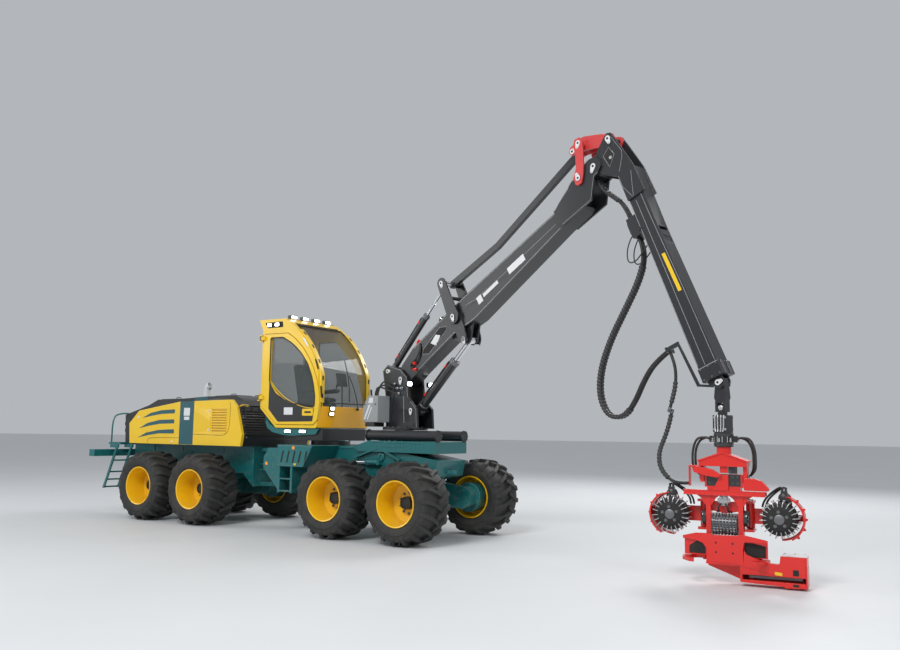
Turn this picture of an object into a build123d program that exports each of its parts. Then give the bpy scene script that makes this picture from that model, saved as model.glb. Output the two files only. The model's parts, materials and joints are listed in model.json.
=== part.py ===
from build123d import *
import os
from math import cos, radians, sin, tan

os.makedirs("parts", exist_ok=True)

# Datum: front axle line, the machine's middle plane and the ground
FRONT_AXLE_X = 980.0
MID_Y = 175.0
SEAT = 0.3
RUN = 5.0

# Wheels
HUB_X = {"front_1": 0.0, "front_2": -1500.0, "rear_1": -4846.0, "rear_2": -6346.0}
TYRE_SIDES = 16
TREAD_R = 612.0
SHOULDER_R = 520.0
TREAD_HALF = 285.0
TYRE_HALF = 355.0
LUG_TOP = 660.0
LUG_ROOT = 560.0
WHEEL_Y = 1098.0
BEAD_R = 368.0
RIM_SIDES = 24
RIM_WALL = 34.0
RIM_HALF = 338.0
DISC_IN = -60.0
DISC_THICK = 25.0
HUB_CAP_R = 105.0
HUB_CAP_OUT = 70.0

# Frames
FRAME_HALF = 430.0
FRAME_WALL = 30.0
DECK_Z = 1530.0
PEDESTAL_Z = 1640.0
PIVOT_X = -3170.0
FRAME_REAR_X = -2960.0
KNUCKLE_R = 130.0
KNUCKLE_Z = (795.0, 1375.0)
PIN_R = 60.0
PIN_GAP = 0.05
EAR_THICK = 65.0
EAR_R = 175.0
REAR_HALF = 520.0
REAR_FRONT_X = -4110.0
REAR_END_X = -7700.0
REAR_TOP_Z = 1480.0
REAR_LOW_Z = 960.0

# Bogies
BEAM_IN = 500.0
BEAM_OUT = 695.0
DRUM_R = 250.0

# Cab
CAB_HALF = 720.0
CAB_WALL = 55.0
CAB_FLOOR = 1842.0
CAB_ROOF = 3885.0
CAB_BULGE = 130.0
DOOR_GAP = 12.0
DOOR_THICK = 60.0
GLASS = 12.0
GLASS_IN = 14.0

# Crane
SLEW_X = -888.0
CRANE_TURN = -13.0
BOOM_FOOT = (90.0, 2720.0)
BOOM_LENGTH = 5181.0
BOOM_ANGLE = 35.1
BOOM_HALF = 150.0
CHEEK_IN = 162.0
CHEEK_OUT = 192.0
JIB_PLATE_IN = 125.0
JIB_PLATE_OUT = 155.0
LINK_IN = 198.0
LINK_OUT = 226.0
LEVER_IN = 198.0
LEVER_OUT = 228.0
JIB_ANGLE = -66.6
JIB_HALF = 120.0
COLUMN_IN = 158.0
COLUMN_OUT = 200.0
COLUMN_FOOT_Z = 1830.0

# Head
HEAD_TURN = 8.0
HEAD_REACH = 6230.0


def upright(x, y, turn):
    """Upright datum plane through a vertical line, its normal to the machine's right."""
    a = radians(turn)
    origin = (FRONT_AXLE_X + x, MID_Y + y, 0)
    return Plane(origin=origin, x_dir=(cos(a), sin(a), 0), z_dir=(sin(a), -cos(a), 0))


SIDE = upright(0, 0, 0)
TOP = Plane(origin=(FRONT_AXLE_X, MID_Y, 0))
FRONT = Plane(origin=(FRONT_AXLE_X, MID_Y, 0), x_dir=(0, 1, 0), z_dir=(1, 0, 0))
CRANE = upright(SLEW_X, 0, CRANE_TURN)


def inclined(base, point, turn):
    """The base plane moved to a point of its own and turned about its normal."""
    return Plane(base.location * Location((point[0], point[1], 0), (0, 0, turn)))


BOOM = inclined(CRANE, BOOM_FOOT, BOOM_ANGLE)
KNEE = (BOOM_FOOT[0] + BOOM_LENGTH * cos(radians(BOOM_ANGLE)),
        BOOM_FOOT[1] + BOOM_LENGTH * sin(radians(BOOM_ANGLE)))
JIB = inclined(CRANE, KNEE, JIB_ANGLE)
HEAD = upright(SLEW_X + HEAD_REACH * cos(radians(CRANE_TURN)),
               HEAD_REACH * sin(radians(CRANE_TURN)), HEAD_TURN)
HEAD_TOP = Plane(origin=HEAD.origin, x_dir=HEAD.x_dir, z_dir=(0, 0, 1))


def slab(plane, outline, start, end, mode=Mode.ADD):
    """Flat piece: a closed outline in a plane, thick from start to end along its normal."""
    with BuildSketch(plane.offset(start)) as face:
        with BuildLine():
            Polyline(*outline, close=True)
        make_face()
    extrude(face.sketch, amount=end - start, mode=mode)


def pair(plane, outline, inner, outer, mode=Mode.ADD):
    """Two like flat pieces, one each side of the plane."""
    slab(plane, outline, inner, outer, mode)
    slab(plane, outline, -outer, -inner, mode)


def block(plane, low, high, mode=Mode.ADD):
    """Box between two corners in a plane's own x, y and normal."""
    outline = [(low[0], low[1]), (high[0], low[1]), (high[0], high[1]), (low[0], high[1])]
    slab(plane, outline, low[2], high[2], mode)


def disc(plane, centre, radius, start, end, mode=Mode.ADD):
    """Round piece on an axis along the plane's normal."""
    with BuildSketch(plane.offset(start)) as face:
        with Locations(centre):
            Circle(radius)
    extrude(face.sketch, amount=end - start, mode=mode)


def facet_disc(plane, centre, radius, sides, start, end, mode=Mode.ADD):
    """Many-sided piece on an axis along the plane's normal; radius is to its flats."""
    with BuildSketch(plane.offset(start)) as face:
        with Locations(centre):
            RegularPolygon(radius, sides, major_radius=False)
    extrude(face.sketch, amount=end - start, mode=mode)


def link(plane, ends, radii, start, end, mode=Mode.ADD):
    """Flat link: the hull round two circles."""
    with BuildSketch(plane.offset(start)) as face:
        for centre, radius in zip(ends, radii):
            with Locations(centre):
                Circle(radius)
        make_hull()
    extrude(face.sketch, amount=end - start, mode=mode)


def bar(plane, first, last, radius, mode=Mode.ADD):
    """Round bar between two points given in a plane's own coordinates."""
    a = plane.from_local_coords(Vector(*first))
    b = plane.from_local_coords(Vector(*last))
    with BuildSketch(Plane(origin=a, z_dir=b - a)) as face:
        Circle(radius)
    extrude(face.sketch, amount=(b - a).length, mode=mode)


def hose(plane, route, diameter):
    """Round hose along a route of points, its arcs as large as the runs allow."""
    points = [plane.from_local_coords(Vector(*point)) for point in route]
    runs = [after - before for before, after in zip(points, points[1:])]
    radii = []
    for a, b in zip(runs, runs[1:]):
        radii.append(0.45 * min(a.length, b.length) / tan(radians(a.get_angle(b) / 2)))
    print("hose radii", [round(radius) for radius in radii])
    with BuildPart() as tube:
        with BuildLine() as path:
            FilletPolyline(*points, radius=radii)
        with BuildSketch(Plane(origin=points[0], z_dir=runs[0])) as section:
            Circle(diameter / 2)
        sweep(section.sketch, path=path.line)
    return tube.part


def save(made, name):
    """Label a finished piece and write its file."""
    made.part.label = name
    export_step(made.part, f"parts/{name}.step")


# One tyre at its own centre, axle along Y
LUG_OUTLINE = [(-20, -112), (180, -30), (350, 42), (350, 112), (165, 45), (-20, -42)]
with BuildPart() as lug:
    slab(Plane.XY, [(t, a) for a, t in LUG_OUTLINE], LUG_ROOT, LUG_TOP)
PITCH = 360 / TYRE_SIDES
with BuildPart() as tyre:
    facet_disc(Plane.XZ, (0, 0), TREAD_R, TYRE_SIDES, -TREAD_HALF, TREAD_HALF)
    for way in (-1, 1):
        with BuildSketch(Plane.XZ.offset(way * TREAD_HALF)) as inner_edge:
            RegularPolygon(TREAD_R, TYRE_SIDES, major_radius=False)
        with BuildSketch(Plane.XZ.offset(way * TYRE_HALF)) as outer_edge:
            RegularPolygon(SHOULDER_R, TYRE_SIDES, major_radius=False)
        loft([inner_edge.sketch, outer_edge.sketch])
    with Locations(*[Location((0, 0, 0), (0, turn * PITCH, 0)) for turn in range(TYRE_SIDES)]):
        add(lug.part)
    with Locations(*[Location((0, 0, 0), (0, (turn + 0.5) * PITCH, 180)) for turn in range(TYRE_SIDES)]):
        add(lug.part)
    facet_disc(Plane.XZ, (0, 0), BEAD_R, RIM_SIDES, -TYRE_HALF, TYRE_HALF, Mode.SUBTRACT)

HUB_Z = -tyre.part.bounding_box().min.Z

# One rim at the same centre, its dish open to -Y
with BuildPart() as rim:
    facet_disc(Plane.XZ, (0, 0), BEAD_R - SEAT, RIM_SIDES, -RIM_HALF, RIM_HALF)
    facet_disc(Plane.XZ, (0, 0), BEAD_R - RIM_WALL, RIM_SIDES, -RIM_HALF, RIM_HALF, Mode.SUBTRACT)
    facet_disc(Plane.XZ, (0, 0), BEAD_R - RIM_WALL, RIM_SIDES, DISC_IN, DISC_IN + DISC_THICK)
    disc(Plane.XZ, (0, 0), HUB_CAP_R, DISC_IN, HUB_CAP_OUT)

# The eight wheels, each a tyre and its rim
for hub, hub_x in HUB_X.items():
    for side, way in (("right", -1), ("left", 1)):
        place = (FRONT_AXLE_X + hub_x, MID_Y + way * WHEEL_Y, HUB_Z)
        with BuildPart() as wheel:
            with Locations(Location(place, (0, 0, 0 if way < 0 else 180))):
                add(tyre.part)
                add(rim.part)
        save(wheel, f"wheel_{hub}_{side}")

# Bogie beams, hub drums and axle housings
BEAM_OUTLINE = [(-930, -110), (-800, -185), (800, -185), (930, -110),
                (930, 110), (800, 185), (300, 240), (-300, 240), (-800, 185), (-930, 110)]
for name, first, second in (("front_axle", "front_1", "front_2"), ("rear_axle", "rear_1", "rear_2")):
    middle = (HUB_X[first] + HUB_X[second]) / 2
    outline = [(middle + x, HUB_Z + z) for x, z in BEAM_OUTLINE]
    with BuildPart() as axle:
        pair(SIDE, outline, BEAM_IN, BEAM_OUT)
        facet_disc(SIDE, (middle, HUB_Z), 185, 12, -BEAM_IN, BEAM_IN)
        for hub in (first, second):
            for low, high in ((-WHEEL_Y - DISC_IN + SEAT, -BEAM_OUT), (BEAM_OUT, WHEEL_Y + DISC_IN - SEAT)):
                facet_disc(SIDE, (HUB_X[hub], HUB_Z), DRUM_R, 20, low, high)
        block(SIDE, (middle - 320, HUB_Z + 120, -BEAM_IN - 5), (middle + 320, REAR_LOW_Z - SEAT, BEAM_IN + 5))
    save(axle, name)

# Front frame: box beam, knuckle at the pivot and the pedestal under the crane
TOW_BORE_R = 26.0
TOW_LUG = 60.0
TOW_FRONT = (175.0, 1100.0)
TOW_REAR = (-7750.0, 1215.0)


def tow_lug(place, way):
    """Flat towing lug with its pin bore, standing out of a frame's end."""
    x, z = place
    outline = [(x - way * 90, -110), (x + way * 20, -60), (x + way * 50, 0), (x + way * 20, 60), (x - way * 90, 110)]
    slab(TOP, outline, z, z + TOW_LUG)
    disc(TOP, (x, 0), TOW_BORE_R, z, z + TOW_LUG, Mode.SUBTRACT)


FRONT_OUTLINE = [(FRAME_REAR_X, 820), (-2700, 800), (-2350, REAR_LOW_Z), (-380, REAR_LOW_Z), (60, 1060),
                 (120, 1330), (-560, 1430), (-1300, 1440), (-1660, DECK_Z), (FRAME_REAR_X, DECK_Z)]
WING_Y = 800.0
WING_THICK = 15.0
WING_TOP = 1470.0
WING_OUTLINE = [(-3560, 1100), (-3560, 1300), (-3440, WING_TOP), (-2890, WING_TOP), (-2885, 690), (-3150, 690)]
STEER_Z = 1085.0
STEER_BACK = (PIVOT_X - 850.0, 270.0)
STEER_FRONT = (PIVOT_X + 50.0, 280.0)
STEER_EYE = 35.0
FORK_THICK = 25.0
FORK_INNER = STEER_EYE + RUN
FORK_OUTER = FORK_INNER + FORK_THICK
STEER_FORKS = ((STEER_Z - FORK_OUTER, STEER_Z - FORK_INNER), (STEER_Z + FORK_INNER, STEER_Z + FORK_OUTER))
PEDESTAL_OUTLINE = [(-1660, DECK_Z), (-1560, 1450), (-560, 1440), (90, 1440), (90, PEDESTAL_Z),
                    (-1316, PEDESTAL_Z)]
WING_LIP = [(-3440, WING_TOP - WING_THICK), (-3440, WING_TOP), (-2900, WING_TOP), (-2900, WING_TOP - WING_THICK)]
FRAME_IN = FRAME_HALF - FRAME_WALL
with BuildPart() as front_frame:
    slab(SIDE, FRONT_OUTLINE, -FRAME_HALF, FRAME_HALF)
    block(SIDE, (-2320, REAR_LOW_Z, -FRAME_IN), (-450, 1400, FRAME_IN), Mode.SUBTRACT)
    slab(SIDE, PEDESTAL_OUTLINE, -500, 500)
    disc(TOP, (PIVOT_X, 0), KNUCKLE_R, *KNUCKLE_Z)
    block(TOP, (PIVOT_X, -KNUCKLE_R, KNUCKLE_Z[0]), (FRAME_REAR_X + 20, KNUCKLE_R, KNUCKLE_Z[1]))
    block(TOP, (-3110, -400, DECK_Z - 60), (FRAME_REAR_X + 20, 400, DECK_Z))
    pair(SIDE, WING_OUTLINE, WING_Y - WING_THICK, WING_Y)
    pair(SIDE, WING_LIP, FRAME_HALF - 10, WING_Y)
    for low, high in STEER_FORKS:
        pair(SIDE, [(-3180, low), (-3180, high), (FRAME_REAR_X + 20, high), (FRAME_REAR_X + 20, low)], 225, 335)
    disc(TOP, (PIVOT_X, 0), PIN_R + PIN_GAP, *KNUCKLE_Z, Mode.SUBTRACT)
    tow_lug(TOW_FRONT, 1)
save(front_frame, "front_frame")

# Rear frame: beam, yoke ears on the pivot and its pin
REAR_OUTLINE = [(REAR_END_X, 1180), (-7200, REAR_LOW_Z), (-4400, REAR_LOW_Z), (REAR_FRONT_X, 720),
                (REAR_FRONT_X, REAR_TOP_Z), (REAR_END_X, REAR_TOP_Z)]
LOW_EAR = (KNUCKLE_Z[0] - RUN - EAR_THICK, KNUCKLE_Z[0] - RUN)
HIGH_EAR = (KNUCKLE_Z[1] + RUN, KNUCKLE_Z[1] + RUN + EAR_THICK)
REAR_IN = REAR_HALF - FRAME_WALL
YOKE_REAR = REAR_FRONT_X - 20.0
EAR_OUTLINE = [(YOKE_REAR, -330), (PIVOT_X, -EAR_R), (PIVOT_X, EAR_R), (YOKE_REAR, 330)]
with BuildPart() as rear_frame:
    slab(SIDE, REAR_OUTLINE, -REAR_HALF, REAR_HALF)
    block(SIDE, (-7150, REAR_LOW_Z, -REAR_IN), (-4300, 1440, REAR_IN), Mode.SUBTRACT)
    for low, high in (LOW_EAR, HIGH_EAR):
        slab(TOP, EAR_OUTLINE, low, high)
        disc(TOP, (PIVOT_X, 0), EAR_R, low, high)
    disc(TOP, (PIVOT_X, 0), PIN_R, LOW_EAR[0], HIGH_EAR[1])
    for low, high in STEER_FORKS:
        pair(SIDE, [(YOKE_REAR, low), (YOKE_REAR, high), (-3990, high), (-3990, low)], 210, 330)
    for way in (-1, 1):
        disc(TOP, (STEER_BACK[0], way * STEER_BACK[1]), 20, STEER_FORKS[0][0], STEER_FORKS[1][1])
    tow_lug(TOW_REAR, -1)
save(rear_frame, "rear_frame")

# Steering cylinders, one each side of the pivot
for side, way in (("right", -1), ("left", 1)):
    back = (STEER_BACK[0], way * STEER_BACK[1], STEER_Z)
    eye = (STEER_FRONT[0], way * STEER_FRONT[1], STEER_Z)
    run = Vector(*eye) - Vector(*back)
    at = lambda share: tuple(Vector(*back) + run * share)
    with BuildPart() as barrel:
        disc(TOP, back[:2], 50, STEER_Z - STEER_EYE, STEER_Z + STEER_EYE)
        bar(TOP, at(0.047), at(0.68), 55)
        bar(TOP, at(0.09), at(0.70), 30 + PIN_GAP, Mode.SUBTRACT)
        disc(TOP, back[:2], 20 + PIN_GAP, STEER_Z - STEER_EYE, STEER_Z + STEER_EYE, Mode.SUBTRACT)
    save(barrel, f"steering_barrel_{side}")
    with BuildPart() as rod:
        bar(TOP, at(0.32), at(0.96), 30)
        disc(TOP, eye[:2], 45, STEER_Z - STEER_EYE, STEER_Z + STEER_EYE)
    save(rod, f"steering_rod_{side}")

# Step boxes and treads, one each side of the front frame
STEP_OUT = 1150.0
STEP_BOX = [(-2870, 1160), (-2870, 1540), (-2030, 1540), (-2240, 1160)]
with BuildPart() as steps:
    pair(SIDE, STEP_BOX, FRAME_HALF + SEAT, STEP_OUT)
    for rail_x in (-2860, -2560):
        rail = [(rail_x, 700), (rail_x, 1160), (rail_x + 50, 1160), (rail_x + 50, 700)]
        pair(SIDE, rail, STEP_OUT - 320, STEP_OUT - 20)
    for tread_z in (720, 930):
        pair(SIDE, [(-2810, tread_z), (-2810, tread_z + 25), (-2560, tread_z + 25), (-2560, tread_z)],
             STEP_OUT - 320, STEP_OUT - 20)
save(steps, "step_boxes")

# Cab: side and plan outlines of the shell, worked inwards by a margin
def cab_body(margin):
    """Cab volume pulled in by a margin on every side."""
    with BuildPart() as body:
        with BuildSketch(SIDE.offset(-CAB_HALF)):
            with BuildLine():
                Polyline((-3204, CAB_ROOF), (-3885, CAB_ROOF), (-3783, 3685), (-3782, 2206), (-3362, CAB_FLOOR),
                         (-2368, CAB_FLOOR), (-2251, 1948), (-2212, 2300))
                ThreePointArc((-2212, 2300), (-2440, 3120), (-3204, CAB_ROOF))
            make_face()
            if margin:
                offset(amount=-margin)
        extrude(amount=2 * CAB_HALF)
        half = CAB_HALF - margin
        with BuildSketch(TOP.offset(1700)):
            with BuildLine():
                Polyline((-2340 - margin, half), (-4000, half), (-4000, -half), (-2340 - margin, -half))
                ThreePointArc((-2340 - margin, -half), (-2340 - margin + CAB_BULGE, 0), (-2340 - margin, half))
            make_face()
        extrude(amount=2400, mode=Mode.INTERSECT)
    return body.part


DOOR_OUTLINE = [(-3740, 3600), (-3740, 2240), (-3345, 1905), (-2430, 1905), (-2330, 1990), (-2290, 2300)]
DOOR_ARC = ((-2290, 2300), (-2500, 3000), (-3120, 3600))
DOOR_FACE = CAB_HALF + 10.0
HINGE = (-3800.0, -752.0)
HINGE_LEVELS = (2360.0, 3480.0)
SCREEN_LOW = 2235.0
SCREEN_HIGH = 3800.0
SCREEN_HALF = 610.0
REAR_WINDOW = (2300.0, 3600.0)
SIDE_WINDOW = [(-3640, 3560), (-3640, 2240), (-3340, 2240), (-2450, 2240), (-2440, 2420), (-2640, 3050),
               (-3150, 3560)]


def door_shape(plane, margin):
    """Door outline in a plane, pulled in by a margin."""
    with BuildSketch(plane) as shape:
        with BuildLine():
            Polyline(DOOR_ARC[2], *DOOR_OUTLINE)
            ThreePointArc(*DOOR_ARC)
        make_face()
        if margin:
            offset(amount=-margin)
    return shape.sketch


def window_cuts(margin):
    """Windscreen, rear window and left side window, each pulled in by a margin."""
    with BuildPart() as cuts:
        half = SCREEN_HALF - margin
        block(FRONT, (-half, SCREEN_LOW + margin, -3100), (half, SCREEN_HIGH - margin, -2000))
        block(FRONT, (-half, REAR_WINDOW[0] + margin, -4000), (half, REAR_WINDOW[1] - margin, -3650))
        with BuildSketch(SIDE.offset(-CAB_HALF - 10)) as side_window:
            with BuildLine():
                Polyline(*SIDE_WINDOW, close=True)
            make_face()
            if margin:
                offset(amount=-margin)
        extrude(side_window.sketch, amount=CAB_WALL + 20)
    return cuts.part


with BuildPart() as cab_shell:
    add(cab_body(0))
    add(cab_body(CAB_WALL), mode=Mode.SUBTRACT)
    extrude(door_shape(SIDE.offset(CAB_HALF - CAB_WALL - 40), -DOOR_GAP), amount=200, mode=Mode.SUBTRACT)
    add(window_cuts(0), mode=Mode.SUBTRACT)
    for hinge_z in HINGE_LEVELS:
        for low, high in ((hinge_z - 20, hinge_z - 0.5), (hinge_z + 90.5, hinge_z + 110)):
            block(TOP, (HINGE[0] - 18, HINGE[1] - 18, low), (HINGE[0] + 30, -CAB_HALF + 15, high))
save(cab_shell, "cab_shell")

with BuildPart() as cab_glass:
    add(cab_body(GLASS_IN))
    add(cab_body(GLASS_IN + GLASS), mode=Mode.SUBTRACT)
    add(window_cuts(SEAT), mode=Mode.INTERSECT)
save(cab_glass, "cab_glass")

# Cab door on the right: frame with its lower panel, and the pane
with BuildPart() as cab_door:
    extrude(door_shape(SIDE.offset(DOOR_FACE - DOOR_THICK), 0), amount=DOOR_THICK)
    with BuildSketch(SIDE.offset(DOOR_FACE - DOOR_THICK)) as pane_hole:
        with BuildLine():
            Polyline((-3240, 3530), (-3560, 3530), (-3560, 2720))
            ThreePointArc((-3560, 2720), (-3150, 2350), (-2400, 2232))
            Line((-2400, 2232), (-2395, 2420))
            ThreePointArc((-2395, 2420), (-2600, 3020), (-3240, 3530))
        make_face()
    extrude(pane_hole.sketch, amount=DOOR_THICK, mode=Mode.SUBTRACT)
    for hinge_z in HINGE_LEVELS:
        disc(TOP, HINGE, 18, hinge_z, hinge_z + 90)
        block(TOP, (HINGE[0], HINGE[1] - 16, hinge_z + 10), (-3690, HINGE[1] + 22, hinge_z + 80))
save(cab_door, "cab_door")
with BuildPart() as door_glass:
    extrude(offset(pane_hole.sketch, amount=-SEAT, mode=Mode.PRIVATE), amount=GLASS)
save(door_glass, "door_glass")

# Cradle, base box and turning disc under the cab
CRADLE = [(-3850, 2150), (-3830, 1930), (-2764, 1670), (-2468, 1795), (-2400, CAB_FLOOR - SEAT),
          (-3362, CAB_FLOOR - SEAT), (-3782, 2206 - 2 * SEAT)]
with BuildPart() as cab_base:
    pair(SIDE, CRADLE, 450, 520)
    disc(TOP, (-2570, -60), 360, DECK_Z + SEAT, 1625)
    block(TOP, (-2900, -650, 1620), (-2250, 550, CAB_FLOOR - SEAT))
    block(TOP, (-3750, -520, 1900), (-3480, 520, 1930))
save(cab_base, "cab_base")

# Operator seat on the cab floor
FLOOR_TOP = CAB_FLOOR + CAB_WALL + SEAT
with BuildPart() as operator_seat:
    block(TOP, (-3150, -180, FLOOR_TOP), (-2850, 180, 2200))
    slab(SIDE, [(-3260, 2190), (-3260, 2310), (-2740, 2330), (-2740, 2230)], -260, 260)
    slab(SIDE, [(-3260, 2300), (-3150, 2310), (-3330, 3050), (-3420, 3020)], -240, 240)
save(operator_seat, "operator_seat")

# Work lamps: roof row and the pair under the cab
with BuildPart() as work_lamps:
    for lamp_y in (-480, -160, 160, 480):
        block(FRONT, (lamp_y - 85, CAB_ROOF + 10, -3300), (lamp_y + 85, CAB_ROOF + 80, -3215))
        block(FRONT, (lamp_y - 30, CAB_ROOF + SEAT, -3290), (lamp_y + 30, CAB_ROOF + 12, -3230))
save(work_lamps, "work_lamps")

# Engine, a plain block on the rear frame
with BuildPart() as engine:
    block(TOP, (-6650, -400, REAR_TOP_Z + SEAT), (-5250, 400, 2160))
save(engine, "engine")

# Hood: yellow side panels, black top shell and the louvred front
HOOD_FLOOR = REAR_TOP_Z + SEAT
HOOD_SIDE = [(-7338, HOOD_FLOOR), (-7376, 1889), (-7071, 2152), (-5798, 2330), (-4316, 2362), (-4178, 2231),
             (-4003, 1699), (-4045, HOOD_FLOOR)]
HOOD_CREST = [(-7950, HOOD_FLOOR), (-7990, 2070), (-7200, 2280), (-6930, 2390), (-6290, 2400), (-5310, 2445),
              (-4600, 2459), (-4350, 2360), (-4200, 2231), (-4240, HOOD_FLOOR)]
HOOD_SHOULDER = [(-7330, HOOD_FLOOR), (-7366, 1885), (-7068, 2142), (-5798, 2320), (-4320, 2352), (-4200, 2231),
                 (-4240, HOOD_FLOOR)]
HOOD_OUT = 950.0
HOOD_SKIN = 70.0
HOOD_IN = HOOD_OUT - HOOD_SKIN
HOOD_WALL = 30.0
with BuildPart() as hood_panels:
    pair(SIDE, HOOD_SIDE, HOOD_IN, HOOD_OUT)
    for louvre in range(9):
        louvre_z = 1750 + 50 * louvre
        pair(SIDE, [(-4850, louvre_z), (-4850, louvre_z + 28), (-4450, louvre_z + 28), (-4450, louvre_z)],
             HOOD_OUT - 25, HOOD_OUT, Mode.SUBTRACT)
save(hood_panels, "hood_panels")
CREST_HALF = 600.0
with BuildPart() as hood_top:
    slab(SIDE, HOOD_SHOULDER, -HOOD_IN + SEAT, HOOD_IN - SEAT)
    slab(SIDE, HOOD_CREST, -CREST_HALF, CREST_HALF)
    block(TOP, (-7300, -HOOD_IN + HOOD_WALL, 1400), (-4100, HOOD_IN - HOOD_WALL, 2080), Mode.SUBTRACT)
    block(TOP, (-6950, -CREST_HALF + HOOD_WALL, 1400), (-4100, CREST_HALF - HOOD_WALL, 2250), Mode.SUBTRACT)
save(hood_top, "hood_top")
GRILLE_FOOT = (-4040.0, 1600.0)
GRILLE_HEAD = (-4200.0, 2231.0)
GRILLE_HALF = 850.0
SLATS = 11
GRILLE_OUTLINE = [(-4238, HOOD_FLOOR), (-4199, 2225), (-4170, 2225), (-4000, 1690), (-4045, HOOD_FLOOR)]
with BuildPart() as grille:
    slab(SIDE, GRILLE_OUTLINE, -HOOD_IN + SEAT, HOOD_IN - SEAT)
    slope = (GRILLE_HEAD[0] - GRILLE_FOOT[0]) / (GRILLE_HEAD[1] - GRILLE_FOOT[1])
    for slat in range(SLATS):
        z = GRILLE_FOOT[1] + 20 + slat * 50
        x = -4000 + (z - 1690) * slope if z > 1690 else -4000 + (z - 1690) * -0.2
        groove = [(x - 40, z), (x - 40, z + 26), (x + 20, z + 26), (x + 20, z)]
        slab(SIDE, groove, -GRILLE_HALF, GRILLE_HALF, Mode.SUBTRACT)
save(grille, "grille")

# Exhaust stack on the hood's crest
with BuildPart() as exhaust:
    disc(TOP, (-6110, 0), 75, 2380, 2600)
    bar(TOP, (-6110, 0, 2580), (-6060, 0, 2680), 75)
    slab(SIDE, [(x, z + SEAT) for x, z in HOOD_CREST], -CREST_HALF, CREST_HALF, Mode.SUBTRACT)
save(exhaust, "exhaust")

# Rear platform, bumper beam and the ladder on the right
with BuildPart() as rear_ladder:
    block(TOP, (-8100, -900, 1440), (REAR_END_X - SEAT, 900, REAR_TOP_Z))
    block(TOP, (-8000, -1420, 1200), (-7830, 1420, 1340))
    for way in (-1, 1):
        block(TOP, (-7835, way * 340 - 45, 1200), (REAR_END_X - SEAT, way * 340 + 45, 1450))
    for rail_y in (-1090, -740):
        slab(SIDE, [(-7490, 1446), (-7550, 1446), (-7800, 860), (-7945, 537), (-7885, 537), (-7745, 860)],
             -rail_y - 15, -rail_y + 15)
        block(TOP, (-7760, rail_y - 15, 1380), (-7490, rail_y + 15, 1452))
    for rung_x, rung_z in ((-7915, 545), (-7850, 700), (-7785, 860), (-7680, 1100)):
        block(TOP, (rung_x - 30, -1090, rung_z), (rung_x + 30, -740, rung_z + 30))
save(rear_ladder, "rear_ladder")

# Slew base: ring and two rack tubes
with BuildPart() as slew_base:
    disc(TOP, (SLEW_X, 0), 420, PEDESTAL_Z + SEAT, COLUMN_FOOT_Z - RUN)
    for way in (-1, 1):
        facet_disc(FRONT, (way * 400, 1735), 85, 12, -1380, 100)
save(slew_base, "slew_base")

# Crane column with its valve cover
COLUMN_OUTLINE = [(-300, 1860), (-300, 2300), (-420, 2880), (-290, 2990), (90, 2890), (250, 2760), (300, 2400),
                  (520, 2200), (550, 1860)]
LIFT_FOOT = (380.0, 2173.0)
REACH_FOOT = (-288.0, 2877.0)
REACH_N = 90.0
with BuildPart() as column:
    disc(TOP, (SLEW_X, 0), 400, COLUMN_FOOT_Z, 1880)
    disc(TOP, (SLEW_X, 0), 150, COLUMN_FOOT_Z - RUN + 0.5, COLUMN_FOOT_Z)
    pair(CRANE, COLUMN_OUTLINE, COLUMN_IN, COLUMN_OUT)
    block(CRANE, (-300, 1860, -COLUMN_OUT), (-240, 2350, COLUMN_OUT))
    disc(CRANE, BOOM_FOOT, 55, -COLUMN_OUT - 12, COLUMN_OUT + 12)
    disc(CRANE, LIFT_FOOT, 40, -COLUMN_OUT - 10, COLUMN_OUT + 10)
    disc(CRANE, REACH_FOOT, 30, REACH_N - 45, COLUMN_OUT)
save(column, "column")
with BuildPart() as valve_cover:
    slab(CRANE, [(-620, 1960), (-620, 2250), (-480, 2430), (-200, 2430), (-200, 1960)], COLUMN_OUT + SEAT, 480)
save(valve_cover, "valve_cover")

# Boom: box beam, knee cheeks, lever boss and the lug of the lift cylinder
LEVER_PIN = (1674.0, 50.0)
LEVER_TIE = (1727.0, 426.0)
LINK_PIN = (4902.0, 27.0)
KNEE_PIN = (BOOM_LENGTH, 0.0)
STRUT_PIN = (1768.0, 713.0)
LIFT_EYE = (1619.0, -386.0)
ARM_REAR = (5011.0, 529.0)
ARM_MID = (5205.0, 470.0)
ARM_FOOT = (5593.0, 158.0)
BOOM_OUTLINE = [(-110, -40), (-60, -110), (60, -140), (399, -127), (1481, -160), (2003, -269), (4203, -317),
                (4600, -350), (4700, -320), (4700, 60), (4413, 12), (4285, -27), (1981, 215), (1464, 248),
                (520, 295), (112, 225), (-60, 110)]
CHEEK_OUTLINE = [(4250, -318), (4868, -392), (5110, -135), (5181, -140), (5285, -95), (5321, 0), (5285, 95),
                 (5181, 140), (5021, 136), (4413, 12), (4285, -27), (4250, -22)]
CHEEK_FOOT = [(4250, -318), (4680, -330), (4680, 50), (4413, 12), (4285, -27), (4250, -22)]
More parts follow.
